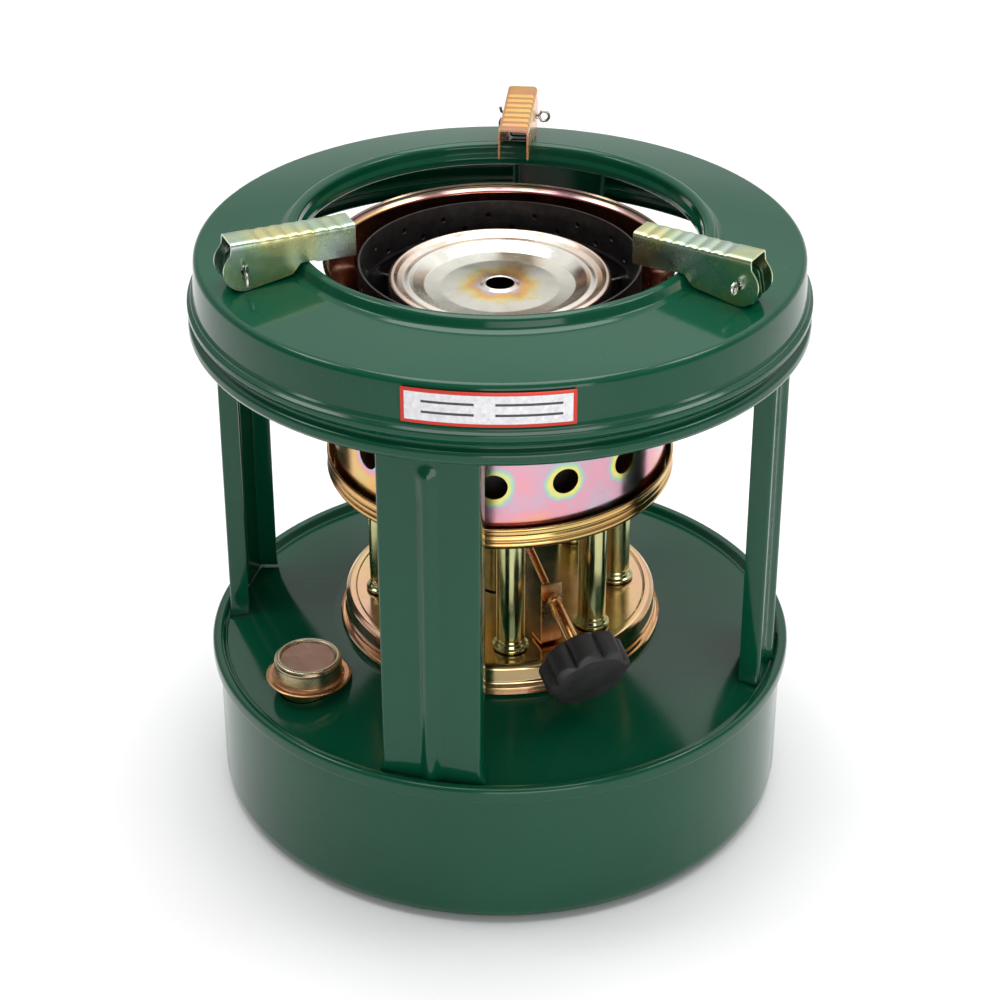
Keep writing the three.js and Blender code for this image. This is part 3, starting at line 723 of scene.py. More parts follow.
@once
def cap_zinc():
    """The cap's flat top is brownish mauve, its rim olive and its flange copper."""
    material, tree, shader, place = chromate("cap_zinc", 0.34, 0.05, 60.0, 0.24, darken=0.75)
    top, foot = top_of("filler_cap") * MM, foot_of("filler_cap") * MM
    share = calc(tree, "DIVIDE", calc(tree, "SUBTRACT", parts_of(tree, place)["Z"], foot), top - foot)
    lid = ramp(
        tree,
        share,
        (0.0, (0.5, 0.26, 0.13)), (0.2, (0.42, 0.24, 0.13)), (0.34, (0.34, 0.3, 0.17)),
        (0.84, (0.42, 0.4, 0.25)), (0.87, (0.24, 0.14, 0.115)), (0.92, (0.22, 0.13, 0.11)),
        (0.95, (0.46, 0.44, 0.3)),
    )
    film = shader.inputs["Base Color"].links[0].from_socket
    colour = blend_colours(tree, 0.85, film, lid)
    tree.links.new(colour, shader.inputs["Base Color"])
    return material


@once
def casing_zinc():
    """The casing's film runs pink and cyan, gold to one side, with yellow halos round its air holes."""
    material, tree, shader, place = chromate("casing_zinc", 0.6, 0.1, 30.0, 0.16)
    around = use(tree, "round the axis", Vector=place)
    step = math.tau / sizes().air_holes
    turn = calc(tree, "SUBTRACT", around["Angle"], sizes().air_hole_start - step / 2 - math.tau)
    turn = calc(tree, "SUBTRACT", calc(tree, "MODULO", turn, step), step / 2)
    across = calc(tree, "MULTIPLY", turn, around["Radius"])
    up = calc(tree, "SUBTRACT", around["Z"], AIR_HOLE_HEIGHT * MM)
    squares = calc(tree, "ADD", calc(tree, "POWER", across, 2.0), calc(tree, "POWER", up, 2.0))
    wobble = calc(tree, "MULTIPLY_ADD", noise(tree, place, 90.0), 0.004, -0.002)
    distance = calc(tree, "ADD", calc(tree, "SQRT", squares), wobble)
    hole = sizes().air_hole
    halo = remap(tree, distance, hole * 1.1, hole * 1.75, 0.4, 0.0, "SMOOTHSTEP")
    gold = remap(tree, parts_of(tree, place)["X"], -0.056, -0.02, -0.4, 0.0, "SMOOTHSTEP")
    inside = calc(tree, "LESS_THAN", around["Radius"], (rim_of("burner_casing") - CASING_BEAD) * MM)
    film = calc(tree, "ADD", calc(tree, "ADD", halo, gold), 0.62)
    colour = use(tree, "chromate film", Vector=place, Film=film, Spread=0.2, Scale=34.0)["Color"]
    colour = blend_colours(tree, 1.0, colour, (0.86, 0.84, 0.84), "MULTIPLY")
    rust = ramp(tree, noise(tree, place, 60.0, 3.0), (0.3, (0.4, 0.11, 0.06)), (0.7, (0.7, 0.34, 0.22)))
    bead = calc(tree, "GREATER_THAN", around["Z"], (top_of("burner_casing") - CASING_BEAD) * MM)
    pale = ramp(tree, noise(tree, place, 50.0, 3.0), (0.35, (0.26, 0.22, 0.14)), (0.65, (0.4, 0.22, 0.23)))
    colour = blend_colours(tree, bead, colour, pale)
    colour = blend_colours(tree, inside, colour, rust)
    tree.links.new(colour, shader.inputs["Base Color"])
    return material


@once
def burnt_steel():
    """Grey-black steel of the flame tubes, with brown and blue heat tints."""
    material, tree, shader, place = new_material("burnt_steel", Metallic=0.7)
    burnt = tuple(colours().burnt)
    tint = ramp(
        tree,
        noise(tree, place, 34.0, 4.0, 0.6),
        (0.3, burnt), (0.75, (0.075, 0.066, 0.06)), (0.52, (0.05, 0.045, 0.047)),
    )
    soot = ramp(tree, noise(tree, place, 180.0, 4.0, 0.7), (0.4, 0.55), (0.7, 1.0))
    colour = blend_colours(tree, 1.0, tint, soot, "MULTIPLY")
    handling = use(tree, "handling", Vector=place, Amount=1.0)
    coat(tree, shader, colour, handling["Smudge"], 0.2, 0.42)
    bump(tree, shader, (noise(tree, place, 700.0, 3.0, 0.6), 0.00002))
    return material


@once
def dish_steel():
    """Bright pressed steel with a rosy rim and a straw-coloured heat ring round the middle hole."""
    material, tree, shader, place = new_material("dish_steel", Metallic=1.0)
    around = use(tree, "round the axis", Vector=place)
    wobble = calc(tree, "MULTIPLY_ADD", noise(tree, place, 110.0, 3.0), 0.014, -0.007)
    radius = calc(tree, "ADD", around["Radius"], wobble)
    share = calc(tree, "DIVIDE", radius, rim_of("flame_dish") * MM)
    heat = ramp(
        tree,
        share,
        (0.0, (0.74, 0.7, 0.6)), (1.0, (0.8, 0.6, 0.5)), (0.14, (0.76, 0.72, 0.64)),
        (0.19, (0.62, 0.5, 0.5)), (0.235, (0.86, 0.48, 0.14)), (0.31, (0.84, 0.66, 0.28)),
        (0.42, (0.76, 0.74, 0.64)), (0.8, (0.74, 0.72, 0.66)), (0.93, (0.78, 0.62, 0.5)),
    )
    stain = ramp(tree, noise(tree, place, 70.0, 4.0, 0.6), (0.45, 1.0), (0.8, 0.82))
    colour = blend_colours(tree, 1.0, heat, stain, "MULTIPLY")
    handling = use(tree, "handling", Vector=place, Amount=1.0)
    coat(tree, shader, colour, handling["Smudge"], 0.16, 0.17)
    marks = use(tree, "turning marks", Vector=place, Scale=1400.0)
    waves = noise(tree, place, 60.0, 2.0)
    bump(tree, shader, (waves, 0.0001), (marks["Height"], 0.000005))
    return material


@once
def bright_steel():
    material, tree, shader, place = new_material("bright_steel", Metallic=1.0)
    steel = tuple(colours().steel)
    dull = tuple(c * 0.62 for c in steel)
    colour = blend_colours(tree, noise(tree, place, 220.0, 3.0), dull, steel)
    handling = use(tree, "handling", Vector=place, Amount=1.0)
    coat(tree, shader, colour, handling["Smudge"], 0.2, 0.22)
    bump(tree, shader, (noise(tree, place, 900.0, 2.0), 0.00001))
    return material


@once
def knob_plastic():
    """Matt black moulding with a fine leathery skin and greyed, handled lobes."""
    material, tree, shader, place = new_material("knob_plastic", IOR=1.48)
    black = tuple(colours().plastic)
    grey = tuple(c * 2.2 + 0.003 for c in black)
    edges = use(tree, "thin edges", Vector=place, Wear=0.6)
    dust = ramp(tree, noise(tree, place, 130.0, 5.0, 0.7), (0.4, 0.0), (0.75, 0.8))
    colour = blend_colours(tree, dust, black, grey)
    colour = blend_colours(tree, edges["Mask"], colour, grey)
    coat(tree, shader, colour, noise(tree, place, 300.0, 3.0), 0.2, 0.42)
    grain = put(tree, "TexVoronoi", {"Vector": place, "Scale": 1100.0}, feature="SMOOTH_F1").outputs[0]
    bump(tree, shader, (grain, 0.00005), (noise(tree, place, 160.0, 3.0), 0.00025))
    return material


@once
def wick_cotton():
    """Plaited cotton, a little brown at the burning end."""
    material, tree, shader, place = new_material("wick_cotton", Roughness=0.95, Sheen_Weight=0.3)
    cotton = tuple(colours().cotton)
    top = top_of("wick_1") * MM
    scorch = remap(tree, parts_of(tree, place)["Z"], top - 0.004, top, 0.0, 0.7)
    yarn = ramp(tree, noise(tree, place, 900.0, 3.0, 0.7), (0.3, 0.6), (0.7, 1.0))
    colour = blend_colours(tree, 1.0, yarn, cotton, "MULTIPLY")
    colour = blend_colours(tree, scorch, colour, (0.12, 0.075, 0.045))
    tree.links.new(colour, shader.inputs["Base Color"])
    bump(tree, shader, (noise(tree, place, 1500.0, 3.0, 0.7), 0.00012))
    return material


@once
def seal_rubber():
    material, tree, shader, place = new_material("seal_rubber", IOR=1.5)
    grain = noise(tree, place, 200.0, 4.0)
    colour = ramp(tree, grain, (0.3, (0.012, 0.012, 0.012)), (0.8, (0.035, 0.033, 0.03)))
    coat(tree, shader, colour, noise(tree, place, 400.0), 0.2, 0.6)
    bump(tree, shader, (noise(tree, place, 1200.0, 2.0), 0.00002))
    return material


@once
def plate_print():
    """Silver foil plate with a printed border and plain ruled lines; it carries no lettering."""
    material, tree, shader, place = new_material("plate_print", Metallic=0.35)
    around = use(tree, "round the axis", Vector=place)
    low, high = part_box("rating_plate")
    middle = angle_of(centre_of("rating_plate"))
    half_span = math.asin((high.x - low.x) / 2 / -low.y)
    across = calc(tree, "DIVIDE", calc(tree, "SUBTRACT", around["Angle"], middle), half_span)
    up = calc(tree, "DIVIDE", calc(tree, "SUBTRACT", around["Z"], (low.z + high.z) / 2), (high.z - low.z) / 2)
    side = calc(tree, "GREATER_THAN", calc(tree, "ABSOLUTE", across), 0.955)
    edge = calc(tree, "GREATER_THAN", calc(tree, "ABSOLUTE", up), 0.8)
    border = calc(tree, "MAXIMUM", side, edge)
    lines = calc(tree, "COMPARE", calc(tree, "ABSOLUTE", up), 0.3, 0.07)
    right = calc(tree, "COMPARE", across, 0.46, 0.38)
    left = calc(tree, "COMPARE", across, -0.46, 0.3)
    lines = calc(tree, "MULTIPLY", lines, calc(tree, "MAXIMUM", right, left))
    smear = noise(tree, place, 500.0, 3.0, 0.7)
    foil = ramp(tree, smear, (0.3, (0.58, 0.57, 0.6)), (0.7, (0.78, 0.78, 0.8)))
    colour = blend_colours(tree, lines, foil, (0.06, 0.055, 0.06))
    colour = blend_colours(tree, border, colour, tuple(colours().border))
    coat(tree, shader, colour, smear, 0.15, 0.25)
    bump(tree, shader, (calc(tree, "MAXIMUM", border, lines), 0.00004), (smear, 0.00001))
    return material


# ------------------------------------------------------------------ fuel tank
class STOVE_OT_tank(bpy.types.Operator):
    """Model the fuel tank: a deep pan with a recessed floor and a deck rolled over its rim"""

    bl_idname = "stove.tank"
    bl_label = "Fuel Tank"
    bl_options = {"REGISTER", "UNDO"}

    def execute(self, context):
        half = half_sheet()
        wall = SEAM - 3.1
        seam_foot = DECK_TOP - 12.2
        pan = spun(
            (0, half + 0.9), (wall - 22, half + 0.9, 2.5), (wall - 19, half, 2.5), (wall, half, 7.6),
            (wall, seam_foot - 1.2, 1.2), (wall + 1.5, seam_foot + 0.4),
        )
        stands_for(sheet_metal(pan), "tank_shell", enamel(), "tank_pan")

        opening = 58
        deck = spun(
            (opening, DECK_TOP - half), (69.3, DECK_TOP - half, 12), (SEAM - 5.4, DECK_TOP - 9.9, 1.6),
            (SEAM - 3.8, DECK_TOP - 6.7, 1.2), (SEAM - half, DECK_TOP - 6.7, 1.5),
            (SEAM - half, seam_foot, 0.8), (SEAM - 1.6, seam_foot - 0.3),
        )
        thickened(deck)
        neck = centre_of("filler_neck")
        bored(deck, rod(12.3, (neck.x, neck.y, 50), (neck.x, neck.y, 90), 48))
        stands_for(smooth(deck), "tank_top", enamel(), "tank_deck")
        return {"FINISHED"}


class STOVE_OT_filler(bpy.types.Operator):
    """Model the filler: its neck, the cap with a beaded rim, and the cap's seal"""

    bl_idname = "stove.filler"
    bl_label = "Filler and Cap"
    bl_options = {"REGISTER", "UNDO"}

    def execute(self, context):
        steps = sizes().small_steps * 2
        place = centre_of("filler_cap")
        at = Matrix.Translation(Vector((place.x, place.y, 0)) * MM)
        neck_foot, neck_top = foot_of("filler_neck"), top_of("filler_neck")
        neck = spun((11.5, neck_foot), (11.5, neck_top - 1.2, 0.6), (11.1, neck_top - 0.4), steps=steps)
        stands_for(settled(sheet_metal(neck), at), "filler_tube", tube_zinc(), "filler_neck")

        foot, top = foot_of("filler_cap"), top_of("filler_cap")
        cap = spun(
            (17.0, foot + 0.45, 0.4), (16.3, foot + 0.75, 0.5), (14.4, foot + 0.5, 0.7),
            (13.3, foot + 1.7, 0.8), (13.2, top - 2.6, 0.8), (13.3, top - 1.5, 0.8),
            (12.7, top - 0.4, 0.8), (11.6, top - 0.45, 0.6), (11.0, top - 1.35, 0.7), (0, top - 1.35),
            steps=steps,
        )
        stands_for(settled(sheet_metal(cap, edge=0.15), at), "press_cap", cap_zinc(), "filler_cap")
        dress(seal_rubber(), "filler_gasket")
        return {"FINISHED"}


# ------------------------------------------------------------------ burner base and wicks
def tube_borers(start, end):
    """A borer for each wick tube, between two heights."""
    places = [centre_of(f"wick_tube_{i}") for i in WICKS]
    return [rod(TUBE_HOLE, (at.x, at.y, start), (at.x, at.y, end), 32) for at in places]


def upright(node, turns=1):
    """The place of each numbered node on the deck's plane, turned by so many times its own angle."""

    def place(i):
        at = centre_of(f"{node}_{i}")
        return spoke((at.x, at.y, 0), angle_of(at) * turns)

    return place


class STOVE_OT_base(bpy.types.Operator):
    """Model the burner base: a shallow inverted cup with beads round its wall and a hole for each tube"""

    bl_idname = "stove.base_cup"
    bl_label = "Burner Base"
    bl_options = {"REGISTER", "UNDO"}

    def execute(self, context):
        rim, foot, top = rim_of("burner_base"), foot_of("burner_base"), top_of("burner_base")
        half = half_sheet()
        wall = rim - 3.0
        cup = spun(
            (rim - 0.5, foot + 0.9, 0.4), (rim - 1.2, foot + half, 0.5), (wall + 0.9, foot + half, 0.5),
            (wall, foot + 1.8, 0.6), (wall, foot + 3.4, 0.5), (wall + 0.8, foot + 4.3, 0.6),
            (wall, foot + 5.2, 0.5), (wall, top - 1.6, 0.9), (wall - 1.5, top - half, 0.9),
            (wall - 3.4, top - half, 0.7), (wall - 4.2, top - half - 0.55, 0.7),
            (38, top - half - 0.55, 2), (10.4, top - half - 0.2),
        )
        thickened(cup)
        bored(cup, *tube_borers(top - 5, top + 3))
        stands_for(smooth(cup), "base_cup", base_zinc(), "burner_base")
        dress(seal_rubber(), "base_gasket")
        return {"FINISHED"}


class STOVE_OT_wick_tubes(bpy.types.Operator):
    """Model the eight wick tubes, each with a pressed collar and a bead"""

    bl_idname = "stove.wick_tubes"
    bl_label = "Wick Tubes"
    bl_options = {"REGISTER", "UNDO"}

    def execute(self, context):
        foot, top = foot_of("wick_tube_1"), top_of("wick_tube_1")
        seat = top_of("burner_base") + 0.1
        tube = spun(
            (5.35, foot), (5.35, seat + 3.4, 0.5), (5.05, seat + 4.1, 0.6), (5.35, seat + 4.8, 0.5),
            (5.35, top - 1.0, 0.6), (5.5, top - 0.4),
            steps=sizes().small_steps,
        )
        sheet_metal(tube)
        ring = spun(
            (5.6, seat), (7.3, seat, 0.2), (7.25, seat + 0.9, 0.6), (6.3, seat + 1.5, 0.5),
            (5.9, seat + 2.6, 0.4), (5.6, seat + 2.7), (5.6, seat),
            steps=sizes().small_steps,
        )
        sleeve = joined(tube, smooth(ring))
        repeated(sleeve, "wick_sleeve", tube_zinc(), "wick_tube", WICKS, upright("wick_tube"))
        return {"FINISHED"}


class STOVE_OT_wicks(bpy.types.Operator):
    """Model the eight plaited wicks"""

    bl_idname = "stove.wicks"
    bl_label = "Wicks"
    bl_options = {"REGISTER", "UNDO"}

    def execute(self, context):
        foot, top = foot_of("wick_1"), top_of("wick_1")
        radius, count = 4.2, 150
        side = [(radius, foot + (top - 0.9 - foot) * i / count) for i in range(count + 1)]
        crown = [(3.7, top - 0.45), (2.6, top - 0.2), (1.2, top - 0.25), (0, top - 0.3)]
        wick = turned([(0, foot), (2.5, foot), *side, *crown], 32)
        pitch = 5.2

        def plait(place):
            angle = math.atan2(place.y, place.x)
            along = place.z / pitch * math.tau
            strands = math.sin(4 * angle + along) * math.sin(4 * angle - along)
            return max(0.0, strands) if math.hypot(place.x, place.y) > 2.4 else 0.0

        smooth(pressed(wick, sizes().braid, "NORMAL", plait), 60)
        repeated(wick, "cotton_wick", wick_cotton(), "wick", WICKS, upright("wick", 3))
        dress(bright_steel(), "wick_carrier", "wick_rack")
        return {"FINISHED"}


# ------------------------------------------------------------------ spindle and knob
def spindle_frame():
    """Direction of the spindle, outwards, and the matrix that lays a Z-drawn piece along it."""
    axis = Vector(JOINTS["knob_turn"]["axis"]).normalized()
    start = joint_place("knob_turn")
    return axis, Matrix.Translation(start * MM) @ axis.to_track_quat("Z", "X").to_matrix().to_4x4()


class STOVE_OT_spindle(bpy.types.Operator):
    """Model the spindle with its collars and sleeve, the strap that carries it and the rack's tube"""

    bl_idname = "stove.spindle"
    bl_label = "Spindle"
    bl_options = {"REGISTER", "UNDO"}

    def execute(self, context):
        steps = sizes().small_steps
        axis, along = spindle_frame()
        start = joint_place("knob_turn")
        strap = centre_of("spindle_bracket")
        knob_at = (centre_of("knob") - start).dot(axis)
        inner = knob_at - KNOB_HALF
        bearing = inner - 27
        spindle = spun(
            (0, -4), (1.5, -4, 0.3), (1.5, bearing - 3.9), (2.7, bearing - 3.9, 0.3),
            (2.7, bearing - 2.5, 0.3), (1.5, bearing - 2.5), (1.5, bearing + 2.5),
            (3.2, bearing + 2.5, 0.35), (3.2, bearing + 3.9, 0.35), (2.45, bearing + 4.1, 0.2),
            (2.45, bearing + 5.4, 0.2), (2.7, bearing + 5.7, 0.2), (2.7, inner - 2.4, 0.2),
            (2.5, inner - 2.1, 0.1), (2.5, inner + 8), (0, inner + 8),
            fillets=3,
            steps=steps,
        )
        stands_for(settled(smooth(spindle), along), "lift_spindle", spindle_zinc(), "spindle")
        dress(bright_steel(), "pinion")

        foot, top = foot_of("spindle_bracket"), top_of("spindle_bracket")
        reach = bearing * math.hypot(axis.x, axis.y)
        height = start.z + bearing * axis.z
        width = 8.6
        bend = rounded([(reach - 8.8, foot + 0.5), (reach, foot + 0.5, 1.4), (reach, top - 0.2)])
        bracket = rows([(x, -width / 2, z) for x, z in bend], (0, width / 8, 0), 8)
        thickened(bracket, 1.0)
        slope = Vector((math.hypot(axis.x, axis.y), 0, axis.z))
        hole_at = Vector((reach, 0, height))
        bored(bracket, rod(1.9, hole_at - slope * 6, hole_at + slope * 6))
        settled(smooth(bracket), Matrix.Rotation(angle_of(strap), 4, "Z"))
        stands_for(bracket, "spindle_strap", spindle_zinc(), "spindle_bracket")

        foot, top = foot_of("rack_guide"), top_of("rack_guide")
        guide = spun((9.0, foot), (9.0, top - 1.6, 0.6), (8.8, top - 0.8), steps=steps * 2)
        thickened(guide)
        bored(guide, rod(3.3, start + axis * 4, start + axis * 20))
        stands_for(smooth(guide), "rack_tube", tube_zinc(), "rack_guide")
        return {"FINISHED"}


class STOVE_OT_knob(bpy.types.Operator):
    """Model the lobed knob with its domed face and turned hub"""

    bl_idname = "stove.knob"
    bl_label = "Knob"
    bl_options = {"REGISTER", "UNDO"}

    def execute(self, context):
        axis, along = spindle_frame()
        start = joint_place("knob_turn")
        middle = (centre_of("knob") - start).dot(axis)
        inner, outer, radius = middle - KNOB_HALF, middle + KNOB_HALF, 17.4
        line = rounded(
            [
                (3.1, inner + 7), (3.1, inner + 0.3, 0.4), (8.6, inner + 0.3, 0.8),
                (9.2, inner + 1.6, 0.8), (radius - 1.8, inner + 1.6, 0.9), (radius, inner + 2.8, 1.2),
                (radius, outer - 2.4, 1.6), (radius - 2.6, outer - 0.7, 1.8),
                (radius - 7.5, outer - 0.2, 4), (0, outer - 0.1),
            ],
            10,
        )
        lobes = sizes().lobes
        knob = turned(divided(line, 1.2), lobes * 20)

        def dip(place):
            distance = math.hypot(place.x, place.y)
            wave = abs(math.cos(lobes * math.atan2(place.y, place.x) / 2)) ** 0.7
            share = min(1.0, max(0.0, (distance - 9.6) / (radius - 9.6)))
            return (1 - wave) * share**1.5

        centre = bpy.data.objects.new("knob_middle", None)
        context.scene.collection.objects.link(centre)
        centre.location = (0, 0, middle * MM)
        modify(
            knob,
            "CAST",
            cast_type="CYLINDER",
            factor=1,
            size=(radius - sizes().lobe_depth / MM * 1.3) * MM,
            use_radius_as_size=False,
            use_z=False,
            vertex_group=weighed(knob, dip),
            object=centre,
        )
        bpy.data.objects.remove(centre)
        knob.vertex_groups.clear()
        spin = Matrix.Rotation(math.radians(12), 4, "Z")
        stands_for(settled(smooth(knob, 60), along @ spin), "lobed_knob", knob_plastic(), "knob")
        return {"FINISHED"}


# ------------------------------------------------------------------ burner
class STOVE_OT_tray(bpy.types.Operator):
    """Model the burner tray with its beaded copper rim"""

    bl_idname = "stove.tray"
    bl_label = "Burner Tray"
    bl_options = {"REGISTER", "UNDO"}

    def execute(self, context):
        rim, top = rim_of("burner_tray"), top_of("burner_tray")
        half = half_sheet()
        mid = rim - half
        tray = spun(
            (21.4, TRAY_FLOOR + half), (mid - 2.3, TRAY_FLOOR + half, 0.6),
            (mid - 0.5, TRAY_FLOOR + 1.5, 0.8), (mid, TRAY_FLOOR + 3.0, 0.9),
            (mid - 1.0, TRAY_FLOOR + 4.3, 0.7), (mid - 0.2, TRAY_FLOOR + 5.3, 0.7),
            (mid - 0.9, TRAY_FLOOR + 6.5, 0.7), (mid - 0.5, TRAY_FLOOR + 7.6, 0.8),
            (mid - 0.6, top - 1.2, 0.8), (mid, top - 0.5, 0.5), (mid - 0.7, top - 0.45),
            fillets=7,
        )
        thickened(tray)
        bored(tray, *tube_borers(TRAY_FLOOR - 3, TRAY_FLOOR + 3))
        stands_for(smooth(tray), "drip_tray", tray_zinc(), "burner_tray")
        return {"FINISHED"}


def ring_of_holes(radius, reach, height, count, first, steps=24):
    """Radial borers at even angles."""
    borers = []
    for i in range(count):
        angle = first + math.tau * i / count
        out = Vector((math.cos(angle), math.sin(angle), 0))
        up = Vector((0, 0, height))
        borers.append(rod(radius, out * (reach - 5) + up, out * (reach + 5) + up, steps))
    return borers


class STOVE_OT_casing(bpy.types.Operator):
    """Model the outer casing: a rolled foot and rim, and the row of air holes"""

    bl_idname = "stove.casing"
    bl_label = "Casing"
    bl_options = {"REGISTER", "UNDO"}

    def execute(self, context):
        rim, foot, top = rim_of("burner_casing"), foot_of("burner_casing"), top_of("burner_casing")
        wall = rim - CASING_BEAD
        band = [(wall, AIR_HOLE_HEIGHT + dz) for dz in range(-8, 9)]
        upper = rounded(
            [
                band[-1],
                (wall, top - 3.6, 0.9), (wall + 1.4, top - 2.4, 0.9), (wall + 2.2, top - 1.3, 0.7),
                (wall + 1.2, top - 0.4),
            ]
        )
        lower = rounded([(wall - 1.6, foot + 0.4), (wall, foot + 1.6, 1), band[0]])
        casing = turned([*lower, *band[1:-1], *upper])
        thickened(casing)
        hole = sizes().air_hole / MM
        holes = ring_of_holes(hole, wall, AIR_HOLE_HEIGHT, sizes().air_holes, sizes().air_hole_start, 48)
        bored(casing, *holes)
        stands_for(smooth(casing), "air_casing", casing_zinc(), "burner_casing")
        return {"FINISHED"}


class STOVE_OT_flame_tubes(bpy.types.Operator):
    """Model the two perforated flame tubes and the wires that tie them to the casing"""

    bl_idname = "stove.flame_tubes"
    bl_label = "Flame Tubes"
    bl_options = {"REGISTER", "UNDO"}

    def execute(self, context):
        hole, count = sizes().flame_hole / MM, sizes().flame_holes
        for side in ("outer", "inner"):
            node = side + "_flame_tube"
            mid = rim_of(node) - half_sheet()
            foot, top = foot_of(node), top_of(node)
            tube = spun(
                (mid, foot), (mid, top - 16, 1), (mid - 0.5, top - 14.8, 1), (mid, top - 13.6, 1),
                (mid, top - 4.6), (mid, top - 0.1),
            )
            thickened(tube)
            for row, drop in enumerate((6.2, 11.5, 34.5, 57.5)):
                first = math.radians(95) + row * math.pi / count
                bored(tube, *ring_of_holes(hole, mid, top - drop, count, first, 12))
            stands_for(smooth(tube), "flame_tube_" + side, burnt_steel(), node)

        for i in (1, 2, 3):
            at = centre_of(f"cross_wire_{i}")
            out = Vector((at.x, at.y, 0)).normalized()
            up = Vector((0, 0, at.z))
            tie = wire([out * radius + up for radius in (39.8, 41.2, 60.0, 63.2)], 0.95)
            stands_for(tie, f"tie_wire_{i}", bright_steel(), f"cross_wire_{i}")
        return {"FINISHED"}


class STOVE_OT_dish(bpy.types.Operator):
    """Model the flame dish: a rolled rim, two pressed steps and a collared middle hole"""

    bl_idname = "stove.dish"
    bl_label = "Flame Dish"
    bl_options = {"REGISTER", "UNDO"}

    def execute(self, context):
        rim, foot, top = rim_of("flame_dish"), foot_of("flame_dish"), top_of("flame_dish")
        half = half_sheet()
        edge = rim - half
        dish = spun(
            (edge, foot + 0.2), (edge, top - 1.2, 0.9), (edge - 1.3, top - half, 0.9),
            (edge - 2.9, top - 1.9, 1.2), (edge - 5.4, top - 2.9, 1.6), (edge - 7.4, top - 2.3, 1.2),
            (edge - 9.0, top - 2.9, 1.2), (edge - 13.5, top - 5.2, 2.6), (edge - 20, top - 5.9, 8),
            (12, top - 5.5, 4), (7.6, top - 5.2, 1.2), (6.1, top - 4.3, 0.7), (5.7, top - 4.6),
            fillets=8,
        )
        stands_for(sheet_metal(dish, wall=0.7, edge=0.15), "flame_spreader", dish_steel(), "flame_dish")
        return {"FINISHED"}


# ------------------------------------------------------------------ ring, legs and plate
CREST = 80.5
CONE_START = 86.5
SHOULDER = RING_RIM - 3.8
CONE_TOP = RING_TOP - 5.2
SHOULDER_TOP = CONE_TOP - 3.4
RING_FOOT = foot_of("top_ring")


class STOVE_OT_ring(bpy.types.Operator):
    """Model the top ring: raised lip, flat cone, tall skirt and beads"""

    bl_idname = "stove.ring"
    bl_label = "Top Ring"
    bl_options = {"REGISTER", "UNDO"}

    def execute(self, context):
        half = half_sheet()
        bead = RING_RIM - half
        belt = SHOULDER_TOP - 16.4
        ring = spun(
            (CREST - 1.4, RING_TOP - 9.3), (CREST - 2.5, RING_TOP - 8.9, 0.9),
            (CREST - 2.6, RING_TOP - 6.6, 1.2), (CREST - 1.6, RING_TOP - 4.6, 1.6),
            (CREST - 1.5, RING_TOP - 1.6, 1.6), (CREST + 0.4, RING_TOP - half, 1.3),
            (CREST + 2.2, RING_TOP - 1.2, 1.6), (CREST + 3.6, RING_TOP - 4.6, 2.2),
            (CONE_START, CONE_TOP - half, 2.2), (SHOULDER, SHOULDER_TOP - half - 0.1, 2.4),
            (SHOULDER + 0.9, belt + 0.4, 0.5), (SHOULDER + 2.0, belt - 0.5, 0.5),
            (SHOULDER + 2.0, belt - 1.6, 0.5), (bead, belt - 2.5, 0.5), (bead, belt - 4.2, 0.8),
            (bead - 1.0, belt - 5.4, 0.8), (bead - 2.7, belt - 7.0, 1.4), (bead - 2.7, belt - 8.8, 1.2),
            (bead - 0.2, RING_FOOT + 5.0, 1.4), (bead, RING_FOOT + 2.2, 1.8),
            (bead - 1.2, RING_FOOT + half + 0.1, 1.2), (bead - 2.6, RING_FOOT + 0.9),
            fillets=7,
        )
        stands_for(sheet_metal(ring), "stove_ring", enamel(), "top_ring")
        return {"FINISHED"}


